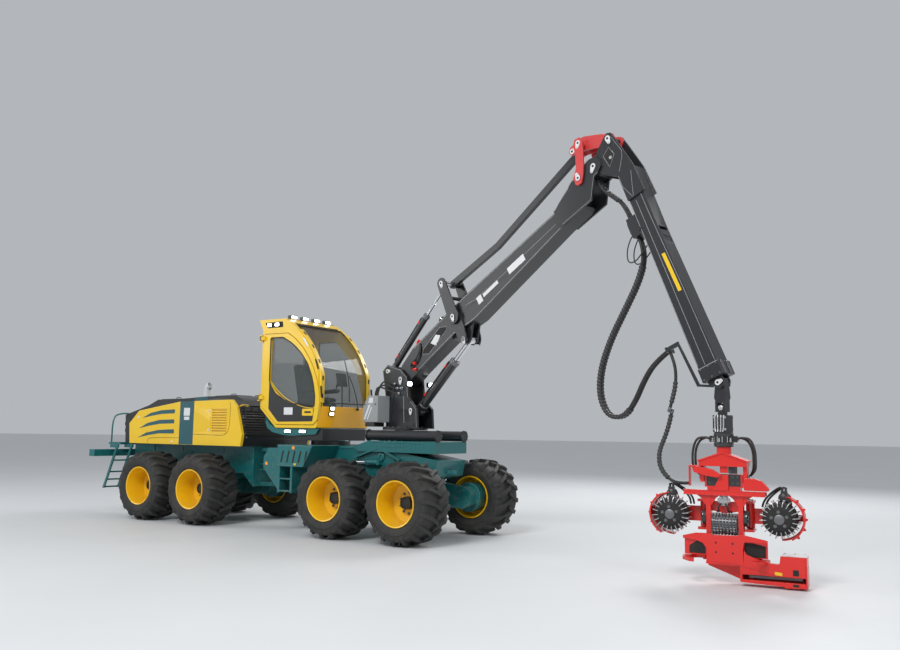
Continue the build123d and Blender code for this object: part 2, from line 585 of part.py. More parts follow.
with BuildPart() as boom:
    slab(BOOM, BOOM_OUTLINE, -BOOM_HALF, BOOM_HALF)
    pair(BOOM, CHEEK_OUTLINE, CHEEK_IN, CHEEK_OUT)
    pair(BOOM, CHEEK_FOOT, BOOM_HALF - 2, CHEEK_IN + 2)
    disc(BOOM, LEVER_PIN, 90, -LEVER_IN + RUN, LEVER_IN - RUN)
    disc(BOOM, LEVER_PIN, 50, -LEVER_OUT - 10, LEVER_OUT + 10)
    disc(BOOM, LINK_PIN, 40, -LINK_OUT - 8, -CHEEK_IN)
    disc(BOOM, LINK_PIN, 40, CHEEK_IN, LINK_OUT + 8)
    disc(BOOM, KNEE_PIN, 45, -LINK_IN + RUN, LINK_IN - RUN)
    pair(BOOM, [(1350, -150), (1900, -230), (1690, -440), (1619, -460), (1550, -440)], 60, 95)
    disc(BOOM, (0, 0), 55 + PIN_GAP, -BOOM_HALF, BOOM_HALF, Mode.SUBTRACT)
save(boom, "boom")

# Lever and strut over the boom
with BuildPart() as lever:
    for low, high in ((-LEVER_OUT, -LEVER_IN), (LEVER_IN, LEVER_OUT)):
        link(BOOM, (LEVER_PIN, STRUT_PIN), (125, 95), low, high)
    disc(BOOM, LEVER_TIE, 32, -LEVER_OUT, LEVER_OUT)
    disc(BOOM, STRUT_PIN, 40, -LEVER_OUT, -10)
    disc(BOOM, LEVER_PIN, 50 + PIN_GAP, -LEVER_OUT, LEVER_OUT, Mode.SUBTRACT)
save(lever, "lever")
STRUT_BEND = (2951.0, 530.0)
STRUT_N = (-85.0, -15.0)
with BuildPart() as strut:
    link(BOOM, (STRUT_PIN, STRUT_BEND), (62, 55), *STRUT_N)
    link(BOOM, (STRUT_BEND, ARM_REAR), (55, 58), *STRUT_N)
    disc(BOOM, STRUT_PIN, 40 + PIN_GAP, *STRUT_N, Mode.SUBTRACT)
save(strut, "strut")

# Knee: curved links and the red arm
LINK_OUTLINE = [(4810, -20), (4830, -60), (4902, -72), (5000, 20), (5120, 170), (5280, 440), (5270, 530),
                (5190, 560), (5120, 510), (5060, 360), (4960, 190), (4830, 90)]
with BuildPart() as knee_links:
    pair(BOOM, LINK_OUTLINE, LINK_IN, LINK_OUT)
    disc(BOOM, LINK_PIN, 40 + PIN_GAP, -LINK_OUT, LINK_OUT, Mode.SUBTRACT)
save(knee_links, "knee_links")
ARM_OUTLINE = [(4950, 560), (4970, 480), (5060, 455), (5150, 400), (5400, 190), (5520, 90), (5590, 68),
               (5670, 110), (5680, 190), (5500, 370), (5300, 550), (5220, 590), (5010, 605)]
with BuildPart() as knee_arm:
    pair(BOOM, ARM_OUTLINE, 90, 120)
    disc(BOOM, ARM_MID, 48, -LINK_IN + RUN, LINK_IN - RUN)
    disc(BOOM, ARM_FOOT, 40 + PIN_GAP, -120, 120, Mode.SUBTRACT)
save(knee_arm, "knee_arm")

# Jib: knee plates, box, collar and the bracket box of the hoses
KNEE_PLATE = [(-100, -60), (-40, -125), (70, -150), (110, -150), (120, -60), (165, 40), (385, 288), (800, 288),
              (800, 590), (329, 572), (66, 520), (-170, 470), (-298, 440), (-330, 380), (-300, 310), (-110, 20)]
JIB_BOX = [(350, 290), (350, 560), (1367, 547), (3443, 590), (3443, 296), (1200, 296)]
EXTENSION_IN = 1420.0
TIP_PIN = (3694.0, 465.0)
with BuildPart() as jib:
    pair(JIB, KNEE_PLATE, JIB_PLATE_IN, JIB_PLATE_OUT)
    slab(JIB, JIB_BOX, -JIB_HALF - 7, JIB_HALF + 7)
    block(JIB, (3440, 292, -150), (3630, 606, 150))
    block(JIB, (1010, 130, -110), (1320, 298, 110))
    block(JIB, (72, -150, -JIB_PLATE_IN - 2), (110, -70, JIB_PLATE_IN + 2))
    block(JIB, (EXTENSION_IN - 60, 318, -95), (3640, 552, 95), Mode.SUBTRACT)
    disc(BOOM, ARM_FOOT, 40, -JIB_PLATE_OUT - 12, JIB_PLATE_OUT + 12)
    disc(JIB, (0, 0), 45 + PIN_GAP, -JIB_PLATE_OUT, JIB_PLATE_OUT, Mode.SUBTRACT)
save(jib, "jib")
with BuildPart() as extension:
    block(JIB, (EXTENSION_IN, 324, -89), (3600, 546, 89))
    block(JIB, (EXTENSION_IN, 318.5, -94.5), (EXTENSION_IN + 90, 551.5, 94.5))
    pair(JIB, [(3560, 330), (3560, 540), (3690, 545), (3760, 510), (3775, 455), (3740, 400), (3680, 375)], 62, 89)
    disc(JIB, TIP_PIN, 38, -105, 105)
    block(JIB, (3640, 330, 62), (3700, 380, 89))
    slab(JIB, [(3690, 380), (3600, 205), (2950, 150), (2950, 120), (3615, 165), (3720, 370)], 66, 86)
    slab(JIB, [(2950, 150), (3010, 150), (3000, -60), (2950, -60)], 60, 92)
    block(JIB, (2940, -66, -80), (3010, -36, 92))
save(extension, "extension")

# Boom lift cylinder and reach cylinder, each a barrel and a rod
LIFT = {"foot": CRANE.from_local_coords(Vector(*LIFT_FOOT, 0)), "eye": BOOM.from_local_coords(Vector(*LIFT_EYE, 0))}
REACH = {"foot": CRANE.from_local_coords(Vector(*REACH_FOOT, REACH_N)),
         "eye": BOOM.from_local_coords(Vector(*STRUT_PIN, REACH_N))}
CYLINDERS = (
    # name, ends, barrel radius, rod radius, eye half width, foot pin, bore from, barrel end, rod from
    ("lift", LIFT, 80, 45, 50, 40, 150, 1230, 480),
    ("reach", REACH, 55, 33, 42, 30, 115, 1330, 655),
)
for name, ends, barrel_r, rod_r, eye_half, pin_r, bore_from, barrel_to, rod_from in CYLINDERS:
    run = ends["eye"] - ends["foot"]
    along = Plane(origin=ends["foot"], x_dir=run, z_dir=CRANE.z_dir)
    length = run.length
    with BuildPart() as barrel:
        disc(along, (0, 0), barrel_r + 12, -eye_half, eye_half)
        bar(along, (60, 0, 0), (barrel_to, 0, 0), barrel_r)
        bar(along, (bore_from, 0, 0), (barrel_to, 0, 0), rod_r + PIN_GAP, Mode.SUBTRACT)
        disc(along, (0, 0), pin_r + PIN_GAP, -barrel_r - 20, barrel_r + 20, Mode.SUBTRACT)
    save(barrel, f"{name}_barrel")
    with BuildPart() as rod:
        bar(along, (rod_from, 0, 0), (length - 40, 0, 0), rod_r)
        disc(along, (length, 0), rod_r + 22, -eye_half, eye_half)
    save(rod, f"{name}_rod")

# Tip link and fork on the extension's tip pin
TIP = CRANE.to_local_coords(JIB.from_local_coords(Vector(*TIP_PIN, 0)))
FORK_Z = 2172.0
FORK_R = 57.0
ROTATOR_TOP = 1867.0
ROTATOR_LOW = 1681.0
with BuildPart() as tip_link:
    slab(CRANE, [(TIP.X - 60, TIP.Y + 55), (TIP.X + 60, TIP.Y + 55), (TIP.X + 85, 2300), (TIP.X + 60, 2235),
                 (TIP.X - 60, 2235), (TIP.X - 85, 2300)], -56, 56)
    disc(CRANE, (TIP.X, TIP.Y), 38 + PIN_GAP, -56, 56, Mode.SUBTRACT)
    for side_r in (-72, 42):
        block(CRANE, (TIP.X + side_r, 2120, -56), (TIP.X + side_r + 30, 2260, 56))
    bar(CRANE, (TIP.X - 72, FORK_Z, 0), (TIP.X + 72, FORK_Z, 0), 28)
save(tip_link, "tip_link")
with BuildPart() as tip_fork:
    block(CRANE, (TIP.X - 36, 2070, -FORK_R), (TIP.X + 36, FORK_Z, FORK_R))
    bar(CRANE, (TIP.X - 36, FORK_Z, 0), (TIP.X + 36, FORK_Z, 0), FORK_R)
    bar(CRANE, (TIP.X - 40, FORK_Z, 0), (TIP.X + 40, FORK_Z, 0), 28 + PIN_GAP, Mode.SUBTRACT)
    block(CRANE, (TIP.X - 90, ROTATOR_TOP + SEAT, -90), (TIP.X + 90, 2080, 90))
save(tip_fork, "tip_fork")
with BuildPart() as rotator:
    facet_disc(HEAD_TOP, (0, 0), 115, 12, ROTATOR_LOW, ROTATOR_TOP)
    for way in (-1, 1):
        block(HEAD_TOP, (way * 140 - 30, -40, 1740), (way * 140 + 30, 40, 1820))
save(rotator, "rotator")

# Head yoke: gable roof, neck and side columns
YOKE_Z = 1300.0
ROOF_LOW = 1440.0
HOSE_PLATE_U = -433.5
with BuildPart() as head_yoke:
    slab(HEAD, [(-290, ROOF_LOW), (-290, 1500), (0, 1604), (290, 1500), (290, ROOF_LOW)], -150, 150)
    disc(HEAD_TOP, (0, 0), 90, 1560, ROTATOR_LOW - 0.5)
    pair_u = ((-285, -237), (237, 285))
    for low, high in pair_u:
        block(HEAD, (low, YOKE_Z - 60, -88), (high, ROOF_LOW + 5, 88))
    block(HEAD, (HOSE_PLATE_U, 1185, -10), (HOSE_PLATE_U + 20, ROOF_LOW + 5, 60))
    block(HEAD, (HOSE_PLATE_U, ROOF_LOW - 20, -10), (-240, ROOF_LOW + 5, 60))
    bar(HEAD, (-290, YOKE_Z, 0), (-225, YOKE_Z, 0), 35)
    bar(HEAD, (225, YOKE_Z, 0), (290, YOKE_Z, 0), 35)
save(head_yoke, "head_yoke")

# Head frame: tilt block, beam, posts, spine, folded front plate and saw box
ARM_HINGE = (280.0, -170.0)
ROLLER_PLACE = (655.0, 825.0)
ROLLER_R = 205.0
SPIKE_R = 238.0
KNIFE_HINGE = (280.0, -100.0)
KNIFE_Z = (280.0, 326.0)
SAW_HINGE = (300.0, 0.0)
CORE_Z = 725.0
CORE_R = 128.0
with BuildPart() as head_frame:
    block(HEAD, (-230, 1180, -85), (230, 1345, 85))
    block(HEAD, (-200, 1120, -85), (200, 1190, 85))
    block(HEAD, (-490, 1085, -100), (490, 1135, 100))
    for way in (-1, 1):
        block(HEAD, (way * 195 - 30, 540, -60), (way * 195 + 30, 1090, 60))
        for low, high in ((990, 1020), (640, 670)):
            block(HEAD, (way * 250 - 90, low, -235), (way * 250 + 90, high, 0))
        disc(HEAD_TOP, (way * ARM_HINGE[0], -ARM_HINGE[1]), 28, 640, 1020)
        block(HEAD, (way * 250 - 90, KNIFE_Z[1] + 6, -160), (way * 250 + 90, KNIFE_Z[1] + 36, 20))
        disc(HEAD_TOP, (way * KNIFE_HINGE[0], -KNIFE_HINGE[1]), 22, 262, KNIFE_Z[1] + 10)
    block(HEAD, (-225, 262, -150), (225, 580, 10))
    slab(HEAD_TOP, [(-500, -15), (0, -85), (500, -15), (500, -40), (0, -110), (-500, -40)], KNIFE_Z[1] + 8, 550)
    block(HEAD, (-200, 380, 0), (200, 500, 70))
    for hole_u, hole_z in ((-80, 470), (120, 460), (-80, 370), (120, 365)):
        facet_disc(HEAD, (hole_u, hole_z), 22, 12, 60, 140, Mode.SUBTRACT)
    slab(HEAD, [(-225, 265), (-225, 205), (200, 50), (950, 25), (950, 265)], -150, 130)
    block(HEAD, (210, 60, -110), (930, 240, 108), Mode.SUBTRACT)
    block(HEAD, (205, 85, 100), (935, 145, 140), Mode.SUBTRACT)
    block(HEAD, (-240, 20, -20), (180, 240, 140), Mode.SUBTRACT)
    disc(HEAD_TOP, (SAW_HINGE[0], -SAW_HINGE[1]), 25, 60, 245)
    bar(HEAD, (-232, YOKE_Z, 0), (232, YOKE_Z, 0), 35 + PIN_GAP, Mode.SUBTRACT)
save(head_frame, "head_frame")

# Feed arms, spiked rollers, middle roller, knives and the saw bar
SPIKES = 18
for side, way in (("left", -1), ("right", 1)):
    with BuildPart() as feed_arm:
        facet_disc(HEAD_TOP, (way * ARM_HINGE[0], -ARM_HINGE[1]), 52, 12, 676, 984)
        block(HEAD, (way * 510 - 210, 730, -205), (way * 510 + 210, 920, -170))
        disc(HEAD_TOP, (way * ARM_HINGE[0], -ARM_HINGE[1]), 28 + PIN_GAP, 676, 984, Mode.SUBTRACT)
        facet_disc(HEAD, (way * ROLLER_PLACE[0], ROLLER_PLACE[1]), 60, 12, -172, -134.5)
        with BuildSketch(HEAD.offset(-205)) as guard:
            with BuildLine():
                u = way * ROLLER_PLACE[0]
                z = ROLLER_PLACE[1]
                ThreePointArc((u, z + 275), (u + way * 275, z), (u, z - 275))
                Line((u, z - 275), (u, z - 250))
                ThreePointArc((u, z - 250), (u + way * 250, z), (u, z + 250))
                Line((u, z + 250), (u, z + 275))
            make_face()
        extrude(guard.sketch, amount=120)
        block(HEAD, (way * 785 - 120, z - 40, -205), (way * 785 + 120, z + 40, -175))
    save(feed_arm, f"feed_arm_{side}")
    with BuildPart() as roller:
        facet_disc(HEAD, (way * ROLLER_PLACE[0], ROLLER_PLACE[1]), ROLLER_R, SPIKES, -134, 180)
        for spike in range(SPIKES):
            a = radians((spike + 0.5) * 360 / SPIKES)
            for low, high in ((-110, -70), (-20, 20), (80, 120)):
                base = [(ROLLER_R - 20, -26), (ROLLER_R - 20, 26), (SPIKE_R, 6), (SPIKE_R, -6)]
                outline = []
                for r, t in base:
                    out = r * cos(a) - t * sin(a)
                    up = r * sin(a) + t * cos(a)
                    outline.append((way * ROLLER_PLACE[0] + out, ROLLER_PLACE[1] + up))
                slab(HEAD, outline, low, high)
    save(roller, f"feed_roller_{side}")
    with BuildPart() as knife:
        blade = [(245, 65), (255, 143), (420, 120), (525, -20), (500, -190), (400, -330), (330, -360),
                 (335, -320), (420, -180), (440, -20), (370, 50), (330, 55)]
        slab(HEAD_TOP, [(way * u, y) for u, y in blade], *KNIFE_Z)
        disc(HEAD_TOP, (way * KNIFE_HINGE[0], -KNIFE_HINGE[1]), 50, *KNIFE_Z)
        disc(HEAD_TOP, (way * KNIFE_HINGE[0], -KNIFE_HINGE[1]), 22 + PIN_GAP, *KNIFE_Z, Mode.SUBTRACT)
    save(knife, f"knife_{side}")
HEAD_SIDE = Plane(origin=HEAD.origin, x_dir=HEAD.z_dir, z_dir=-HEAD.x_dir)
with BuildPart() as middle_roller:
    facet_disc(HEAD_SIDE, (0, CORE_Z), CORE_R, 12, -150, 150)
    disc(HEAD_SIDE, (0, CORE_Z), 25, -164.5, 164.5)
save(middle_roller, "middle_roller")
with BuildPart() as saw_bar:
    link(HEAD_TOP, (SAW_HINGE, (880, 0)), (60, 30), 100, 130)
    disc(HEAD_TOP, SAW_HINGE, 25 + PIN_GAP, 100, 130, Mode.SUBTRACT)
save(saw_bar, "saw_bar")

# Hoses: knee pair and hanging loop on the jib, then down to the head in two lengths
HOSE = 42.0
HOSE_SIDE = 34.0
KNEE_HOSE = [(110.3, -110), (290, -110), (500, 20), (755, 150), (1009.7, 150)]
LOOP_HOSE = [(1320.3, 165), (1560, 165), (1850, -80), (2100, -430), (2400, -870), (2730, -1205),
             (3080, -1370), (3390, -1330), (3500, -1090), (3370, -830), (3170, -590), (3020, -330),
             (2978, -75)]
with BuildPart() as jib_hoses:
    for way in (-1, 1):
        add(hose(JIB, [(x, y, way * HOSE_SIDE) for x, y in KNEE_HOSE], HOSE))
        add(hose(JIB, [(x, y, way * HOSE_SIDE) for x, y in LOOP_HOSE], HOSE))
save(jib_hoses, "jib_hoses")
HEAD_HOSE_UPPER = [(3010.3, -40), (3150, -40), (3300, -75), (3450, -150), (3600, -270), (3725, -385)]
with BuildPart() as head_hose_upper:
    add(hose(JIB, [(x, y, HOSE_SIDE) for x, y in HEAD_HOSE_UPPER], HOSE))
save(head_hose_upper, "head_hose_upper")
HEAD_HOSE_LOWER = [(-702, 2165, -306), (-744, 1990, -322), (-800, 1800, -300), (-868, 1610, -225),
                   (-850, 1420, -140), (-745, 1280, -75), (-600, 1200, -15), (-440.6, 1215, 25)]
with BuildPart() as head_hose_lower:
    add(hose(HEAD, HEAD_HOSE_LOWER, HOSE))
save(head_hose_lower, "head_hose_lower")
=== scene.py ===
"""Looks of an eight-wheeled forestry harvester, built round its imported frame."""

import json
import math

import bmesh
import bpy
import numpy as np
from mathutils import Matrix, Vector

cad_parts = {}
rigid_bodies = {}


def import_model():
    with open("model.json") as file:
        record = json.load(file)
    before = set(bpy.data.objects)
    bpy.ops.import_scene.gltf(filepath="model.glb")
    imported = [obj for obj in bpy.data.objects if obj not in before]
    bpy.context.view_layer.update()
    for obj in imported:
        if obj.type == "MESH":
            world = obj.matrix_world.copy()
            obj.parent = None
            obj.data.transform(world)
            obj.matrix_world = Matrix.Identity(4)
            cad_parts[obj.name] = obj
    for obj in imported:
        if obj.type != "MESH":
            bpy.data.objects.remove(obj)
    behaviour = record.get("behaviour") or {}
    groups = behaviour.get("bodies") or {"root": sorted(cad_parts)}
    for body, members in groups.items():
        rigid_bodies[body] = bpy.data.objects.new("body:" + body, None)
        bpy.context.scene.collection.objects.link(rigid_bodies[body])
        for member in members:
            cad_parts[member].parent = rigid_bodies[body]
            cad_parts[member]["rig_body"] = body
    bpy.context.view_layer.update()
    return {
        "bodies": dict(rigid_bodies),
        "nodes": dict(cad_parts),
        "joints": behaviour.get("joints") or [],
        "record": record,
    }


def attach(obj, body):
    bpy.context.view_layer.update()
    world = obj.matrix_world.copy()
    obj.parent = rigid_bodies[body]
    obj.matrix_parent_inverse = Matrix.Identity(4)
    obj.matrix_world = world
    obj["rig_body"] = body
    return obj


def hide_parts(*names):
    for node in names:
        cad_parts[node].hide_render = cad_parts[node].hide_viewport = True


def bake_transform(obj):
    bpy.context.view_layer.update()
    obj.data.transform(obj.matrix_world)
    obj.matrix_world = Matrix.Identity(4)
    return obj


bl_info = {
    "name": "Forestry harvester looks",
    "version": (1, 0, 0),
    "blender": (4, 5, 0),
    "location": "View3D > Sidebar > Harvester",
    "description": "Dresses the packed frame of a forestry harvester",
    "category": "Object",
}

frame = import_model()
MM = 0.001


# Places: local axes in which the pieces are measured, in millimetres

def unit(vector):
    """The vector at length one."""
    vector = np.asarray(vector, float)
    return vector / np.linalg.norm(vector)


class Place:
    """Local x, y and outward n of a part of the machine, from an origin in metres."""

    def __init__(self, origin, x, n):
        self.origin = np.asarray(origin, float)
        x, n = unit(x), unit(n)
        self.axes = np.stack([x, np.cross(n, x), n])

    def at(self, points):
        """Local millimetres to metres of the model: origin plus each axis times its measure."""
        return self.origin + np.asarray(points, float) @ self.axes * MM

    def inclined(self, point, turn):
        """The place moved to a point of its own and turned about its normal, in degrees."""
        a = math.radians(turn)
        x = math.cos(a) * self.axes[0] + math.sin(a) * self.axes[1]
        return Place(self.at([*point, 0]), x, self.axes[2])

    def facing(self, first, last):
        """A place at the first point whose normal runs to the last, and its distance."""
        start, end = self.at(first), self.at(last)
        n = unit(end - start)
        x = np.cross(n, self.axes[np.argmin(abs(self.axes @ n))])
        return Place(start, x, n), np.linalg.norm(end - start) / MM

    def put(self, *shapes):
        """The shapes, joined, in metres of the model."""
        points, faces = join(*shapes)
        return self.at(points), faces

    def twin(self, *shapes):
        """The shapes and their mirror images across the place's own plane, in metres of the model."""
        return self.put(*both_ways(*shapes))


FRONT_AXLE_X, MIDDLE_Y = 0.98, 0.175    # front wheel axle and the machine's middle plane, in metres


def upright(x, y, turn):
    """Upright place through a vertical line of the machine, its normal to the right."""
    a = math.radians(turn)
    return Place((FRONT_AXLE_X + x * MM, MIDDLE_Y + y * MM, 0), (math.cos(a), math.sin(a), 0),
                 (math.sin(a), -math.cos(a), 0))


SIDE = upright(0, 0, 0)
FAR_SIDE = Place(SIDE.origin, (-1, 0, 0), (0, 1, 0))
TOP = Place(SIDE.origin, (1, 0, 0), (0, 0, 1))
FRONT = Place(SIDE.origin, (0, 1, 0), (1, 0, 0))
BACK = Place(SIDE.origin, (0, -1, 0), (-1, 0, 0))
CRANE_TURN = -13.0
SLEW_X = -888.0
CRANE = upright(SLEW_X, 0, CRANE_TURN)
BOOM_FOOT = (90.0, 2720.0)
BOOM_LENGTH = 5181.0
BOOM_ANGLE = 35.1
BOOM = CRANE.inclined(BOOM_FOOT, BOOM_ANGLE)
KNEE = (BOOM_FOOT[0] + BOOM_LENGTH * math.cos(math.radians(BOOM_ANGLE)),
        BOOM_FOOT[1] + BOOM_LENGTH * math.sin(math.radians(BOOM_ANGLE)))
JIB_ANGLE = -66.6
JIB = CRANE.inclined(KNEE, JIB_ANGLE)
HEAD_REACH = 6230.0
HEAD_TURN = 8.0
HEAD = upright(SLEW_X + HEAD_REACH * math.cos(math.radians(CRANE_TURN)),
               HEAD_REACH * math.sin(math.radians(CRANE_TURN)), HEAD_TURN)
HEAD_TOP = Place(HEAD.origin, HEAD.axes[0], (0, 0, 1))


# Shapes: points in local millimetres and faces grouped by their number of corners

def join(*shapes):
    """Several shapes as one: points end to end, faces counted on."""
    points, faces, start = [], [], 0
    for own_points, own_faces in shapes:
        points.append(np.asarray(own_points, float).reshape(-1, 3))
        faces += [np.asarray(group) + start for group in own_faces]
        start += len(points[-1])
    return np.concatenate(points), faces


def grid(points, round_rows=False, round_columns=False):
    """Surface through a grid of points (rows, columns, 3), closed round either way on demand."""
    rows, columns = points.shape[:2]
    number = np.arange(rows * columns).reshape(rows, columns)
    if round_rows:
        number = np.concatenate([number, number[:1]])
    if round_columns:
        number = np.concatenate([number, number[:, :1]], axis=1)
    quads = np.stack([number[:-1, :-1], number[:-1, 1:], number[1:, 1:], number[1:, :-1]], -1)
    return points.reshape(-1, 3), [quads.reshape(-1, 4)]


def closed_tube(rings):
    """Surface through rings of points (rings, corners, 3), with a flat cap on both ends."""
    count, corners = rings.shape[:2]
    points, faces = grid(rings, round_columns=True)
    first = np.arange(corners)
    return points, faces + [first[None, ::-1], (first + (count - 1) * corners)[None]]


def prism(outline, low, high):
    """Closed outline of (x, y) carried straight along n from low to high."""
    outline = np.asarray(outline, float)
    ahead = np.roll(outline, -1, axis=0)
    if np.sum(outline[:, 0] * ahead[:, 1] - ahead[:, 0] * outline[:, 1]) < 0:
        outline = outline[::-1]
    levels = [np.column_stack([outline, np.full(len(outline), level)]) for level in (low, high)]
    return closed_tube(np.stack(levels))


def pair(outline, low, high):
    """Two like prisms, one each side of the place."""
    return join(prism(outline, low, high), prism(outline, -high, -low))


def boxes(*rows):
    """Boxes between two corners each: x, y, n of the one and of the other."""
    ends = np.asarray(rows, float).reshape(-1, 2, 3)
    low, high = ends.min(1), ends.max(1)
    corner = np.array([(0, 0, 0), (1, 0, 0), (1, 1, 0), (0, 1, 0), (0, 0, 1), (1, 0, 1), (1, 1, 1),
                       (0, 1, 1)])
    points = low[:, None] + (high - low)[:, None] * corner
    face = np.array([(0, 3, 2, 1), (4, 5, 6, 7), (0, 1, 5, 4), (1, 2, 6, 5), (2, 3, 7, 6), (3, 0, 4, 7)])
    return points.reshape(-1, 3), [(face + 8 * np.arange(len(ends))[:, None, None]).reshape(-1, 4)]


def circles(profile, sides):
    """Rings of points: each (radius, n) row of a profile carried round n."""
    radius, level = np.split(np.asarray(profile, float), 2, axis=1)
    a = np.arange(sides) * 2 * math.pi / sides
    return np.stack([radius * np.cos(a), radius * np.sin(a), level + 0 * a], -1)


def turned(profile, sides=32):
    """Profile of (radius, n) rows, lowest first on the outside, turned about n; open ends are capped."""
    return closed_tube(circles(profile, sides))


def pin(radius, low, high, sides=20, chamfer=3.0):
    """Round pin with chamfered ends."""
    return turned([(radius - chamfer, low), (radius, low + chamfer), (radius, high - chamfer),
                   (radius - chamfer, high)], sides)


def moved(shape, *offsets):
    """A copy of the shape at each offset (x, y, n)."""
    points, faces = shape
    return join(*[(points + offset, faces) for offset in np.asarray(offsets, float)])


def around(shape, count, start=0.0):
    """Copies of the shape turned about n, evenly spaced."""
    points, faces = shape
    made = []
    for a in start + np.arange(count) * 2 * math.pi / count:
        turn = np.array([(math.cos(a), math.sin(a), 0), (-math.sin(a), math.cos(a), 0), (0, 0, 1)])
        made.append((points @ turn, faces))
    return join(*made)


def closed_tube_rings(path, radius, sides, closed=False):
    """Circles carried along a path, each turned no more than the path itself turns."""
    path = np.asarray(path, float)
    direction = np.roll(path, -1, 0) - np.roll(path, 1, 0) if closed else np.gradient(path, axis=0)
    direction /= np.linalg.norm(direction, axis=1)[:, None]
    side = np.empty_like(path)
    last = np.eye(3)[np.argmin(abs(direction[0]))]
    for place, ahead in enumerate(direction):
        last = unit(last - ahead * (last @ ahead))
        side[place] = last
    other = np.cross(direction, side)
    a = np.arange(sides) * 2 * math.pi / sides
    radius = np.interp(np.linspace(0, 1, len(path)), np.linspace(0, 1, np.size(radius)), np.ravel(radius))
    circle = np.cos(a)[:, None] * side[:, None] + np.sin(a)[:, None] * other[:, None]
    return path[:, None] + radius[:, None, None] * circle


def tube(path, radius, sides=12):
    """Round bar along a path, its radius one number or some spread over its points."""
    return closed_tube(closed_tube_rings(path, radius, sides))


def ring_tube(path, radius, sides=10):
    """Round bar along a closed path."""
    return grid(closed_tube_rings(path, radius, sides, closed=True), round_rows=True, round_columns=True)


def gasket(outline, radius, level, sides=8):
    """Round bead laid along a closed outline of (x, y) at a level."""
    return ring_tube([(x, y, level) for x, y in outline], radius, sides)


def strip(path, width, low, high):
    """Flat band along an open path of (x, y), from low to high."""
    path = np.asarray(path, float)
    ahead = np.gradient(path, axis=0)
    out = np.column_stack([-ahead[:, 1], ahead[:, 0]]) / np.linalg.norm(ahead, axis=1)[:, None]
    return prism(np.concatenate([path + out * width / 2, (path - out * width / 2)[::-1]]), low, high)


def box_outline(x0, y0, x1, y1):
    """Outline of a rectangle between two corners."""
    return [(x0, y0), (x1, y0), (x1, y1), (x0, y1)]


def rounded(outline, radius, steps=5):
    """Closed outline with every corner made a quadratic arc that starts a radius away from it."""
    outline = np.asarray(outline, float)
    t = np.linspace(0, 1, steps)[:, None]
    made = []
    for before, corner, after in zip(np.roll(outline, 1, 0), outline, np.roll(outline, -1, 0)):
        ends = []
        for other in (before, after):
            length = np.linalg.norm(other - corner)
            ends.append(corner + (other - corner) / length * min(radius, 0.45 * length))
        made.append((1 - t) ** 2 * ends[0] + 2 * t * (1 - t) * corner + t * t * ends[1])
    return np.concatenate(made)


def slab(outline, radius, low, high):
    """Prism of an outline with rounded corners."""
    return prism(rounded(outline, radius), low, high)


def mirrored(shape):
    """The shape with its x turned round, its faces looking outward again."""
    points, faces = join(shape)
    return points * (-1, 1, 1), [group[:, ::-1] for group in faces]


def both(shape):
    """The shape on the machine's right side and its mirror image on the left, in metres."""
    return join(SIDE.put(shape), FAR_SIDE.put(mirrored(shape)))


def mirrored_y(shape):
    """The shape with its y turned round, its faces looking outward again."""
    points, faces = join(shape)
    return points * (1, -1, 1), [group[:, ::-1] for group in faces]


def both_ways(*shapes):
    """The shapes and their mirror images across the place's own plane."""
    points, faces = join(*shapes)
    return (points, faces), (points * (1, 1, -1), [group[:, ::-1] for group in faces])


def bolt(radius, low=0.0):
    """Hexagon bolt head on a washer."""
    return join(turned([(radius * 1.4, low - 2), (radius * 1.4, low + radius * 0.25),
                        (0.1, low + radius * 0.25)], 16),
                button(radius, low, low + radius, radius * 0.86, low + radius * 1.15, 6))


def bend(corners, steps=8):
    """Smooth path of points through a route: a quadratic arc over each corner between mid-points."""
    corners = np.asarray(corners, float)
    middles = (corners[1:] + corners[:-1]) / 2
    t = np.linspace(0, 1, steps, endpoint=False)[:, None]
    arcs = [(1 - t) ** 2 * a + 2 * t * (1 - t) * b + t ** 2 * c
            for a, b, c in zip(middles, corners[1:-1], middles[1:])]
    return np.concatenate([corners[:1], *arcs, middles[-1:], corners[-1:]])


def routed(corners, radius, sides=12):
    """Round bar along the smooth path through a route."""
    return tube(bend(corners), radius, sides)


def button(radius, low, edge, top_radius, top, sides=32):
    """Round button: straight from low to edge, then slanting in to a flat top."""
    return turned([(radius, low), (radius, edge), (top_radius, top), (0.1, top)], sides)


def bolts(radius, low, *spots):
    """Bolt heads at a level, one at each (x, y)."""
    return moved(bolt(radius, low), *[(x, y, 0) for x, y in spots])


def bolt_circle(radius, low, out, count, start=0.0):
    """Bolt heads at a level, evenly spaced on a circle."""
    return around(moved(bolt(radius, low), (out, 0, 0)), count, start)


# Finishes: materials written as expressions on their sockets

class Val:
    """A socket whose arithmetic adds Math nodes."""

    def __init__(self, tree, socket):
        self.tree, self.socket = tree, socket

    def math(self, operation, *values, clamp=False):
        node = self.tree.nodes.new("ShaderNodeMath")
        node.operation, node.use_clamp = operation, clamp
        for slot, value in zip(node.inputs, values):
            if isinstance(value, Val):
                self.tree.links.new(value.socket, slot)
            else:
                slot.default_value = value
        return Val(self.tree, node.outputs[0])

    def __add__(self, other):
        return self.math("ADD", self, other)

    __radd__ = __add__

    def __sub__(self, other):
        return self.math("SUBTRACT", self, other)

    def __rsub__(self, other):
        return self.math("SUBTRACT", other, self)

    def __mul__(self, other):
        return self.math("MULTIPLY", self, other)

    __rmul__ = __mul__

    def above(self, edge, width):
        """Ramp from 0 below the edge to 1 above it, over the width."""
        return self.math("MULTIPLY", self.math("SUBTRACT", self, edge - width / 2), 1 / width, clamp=True)


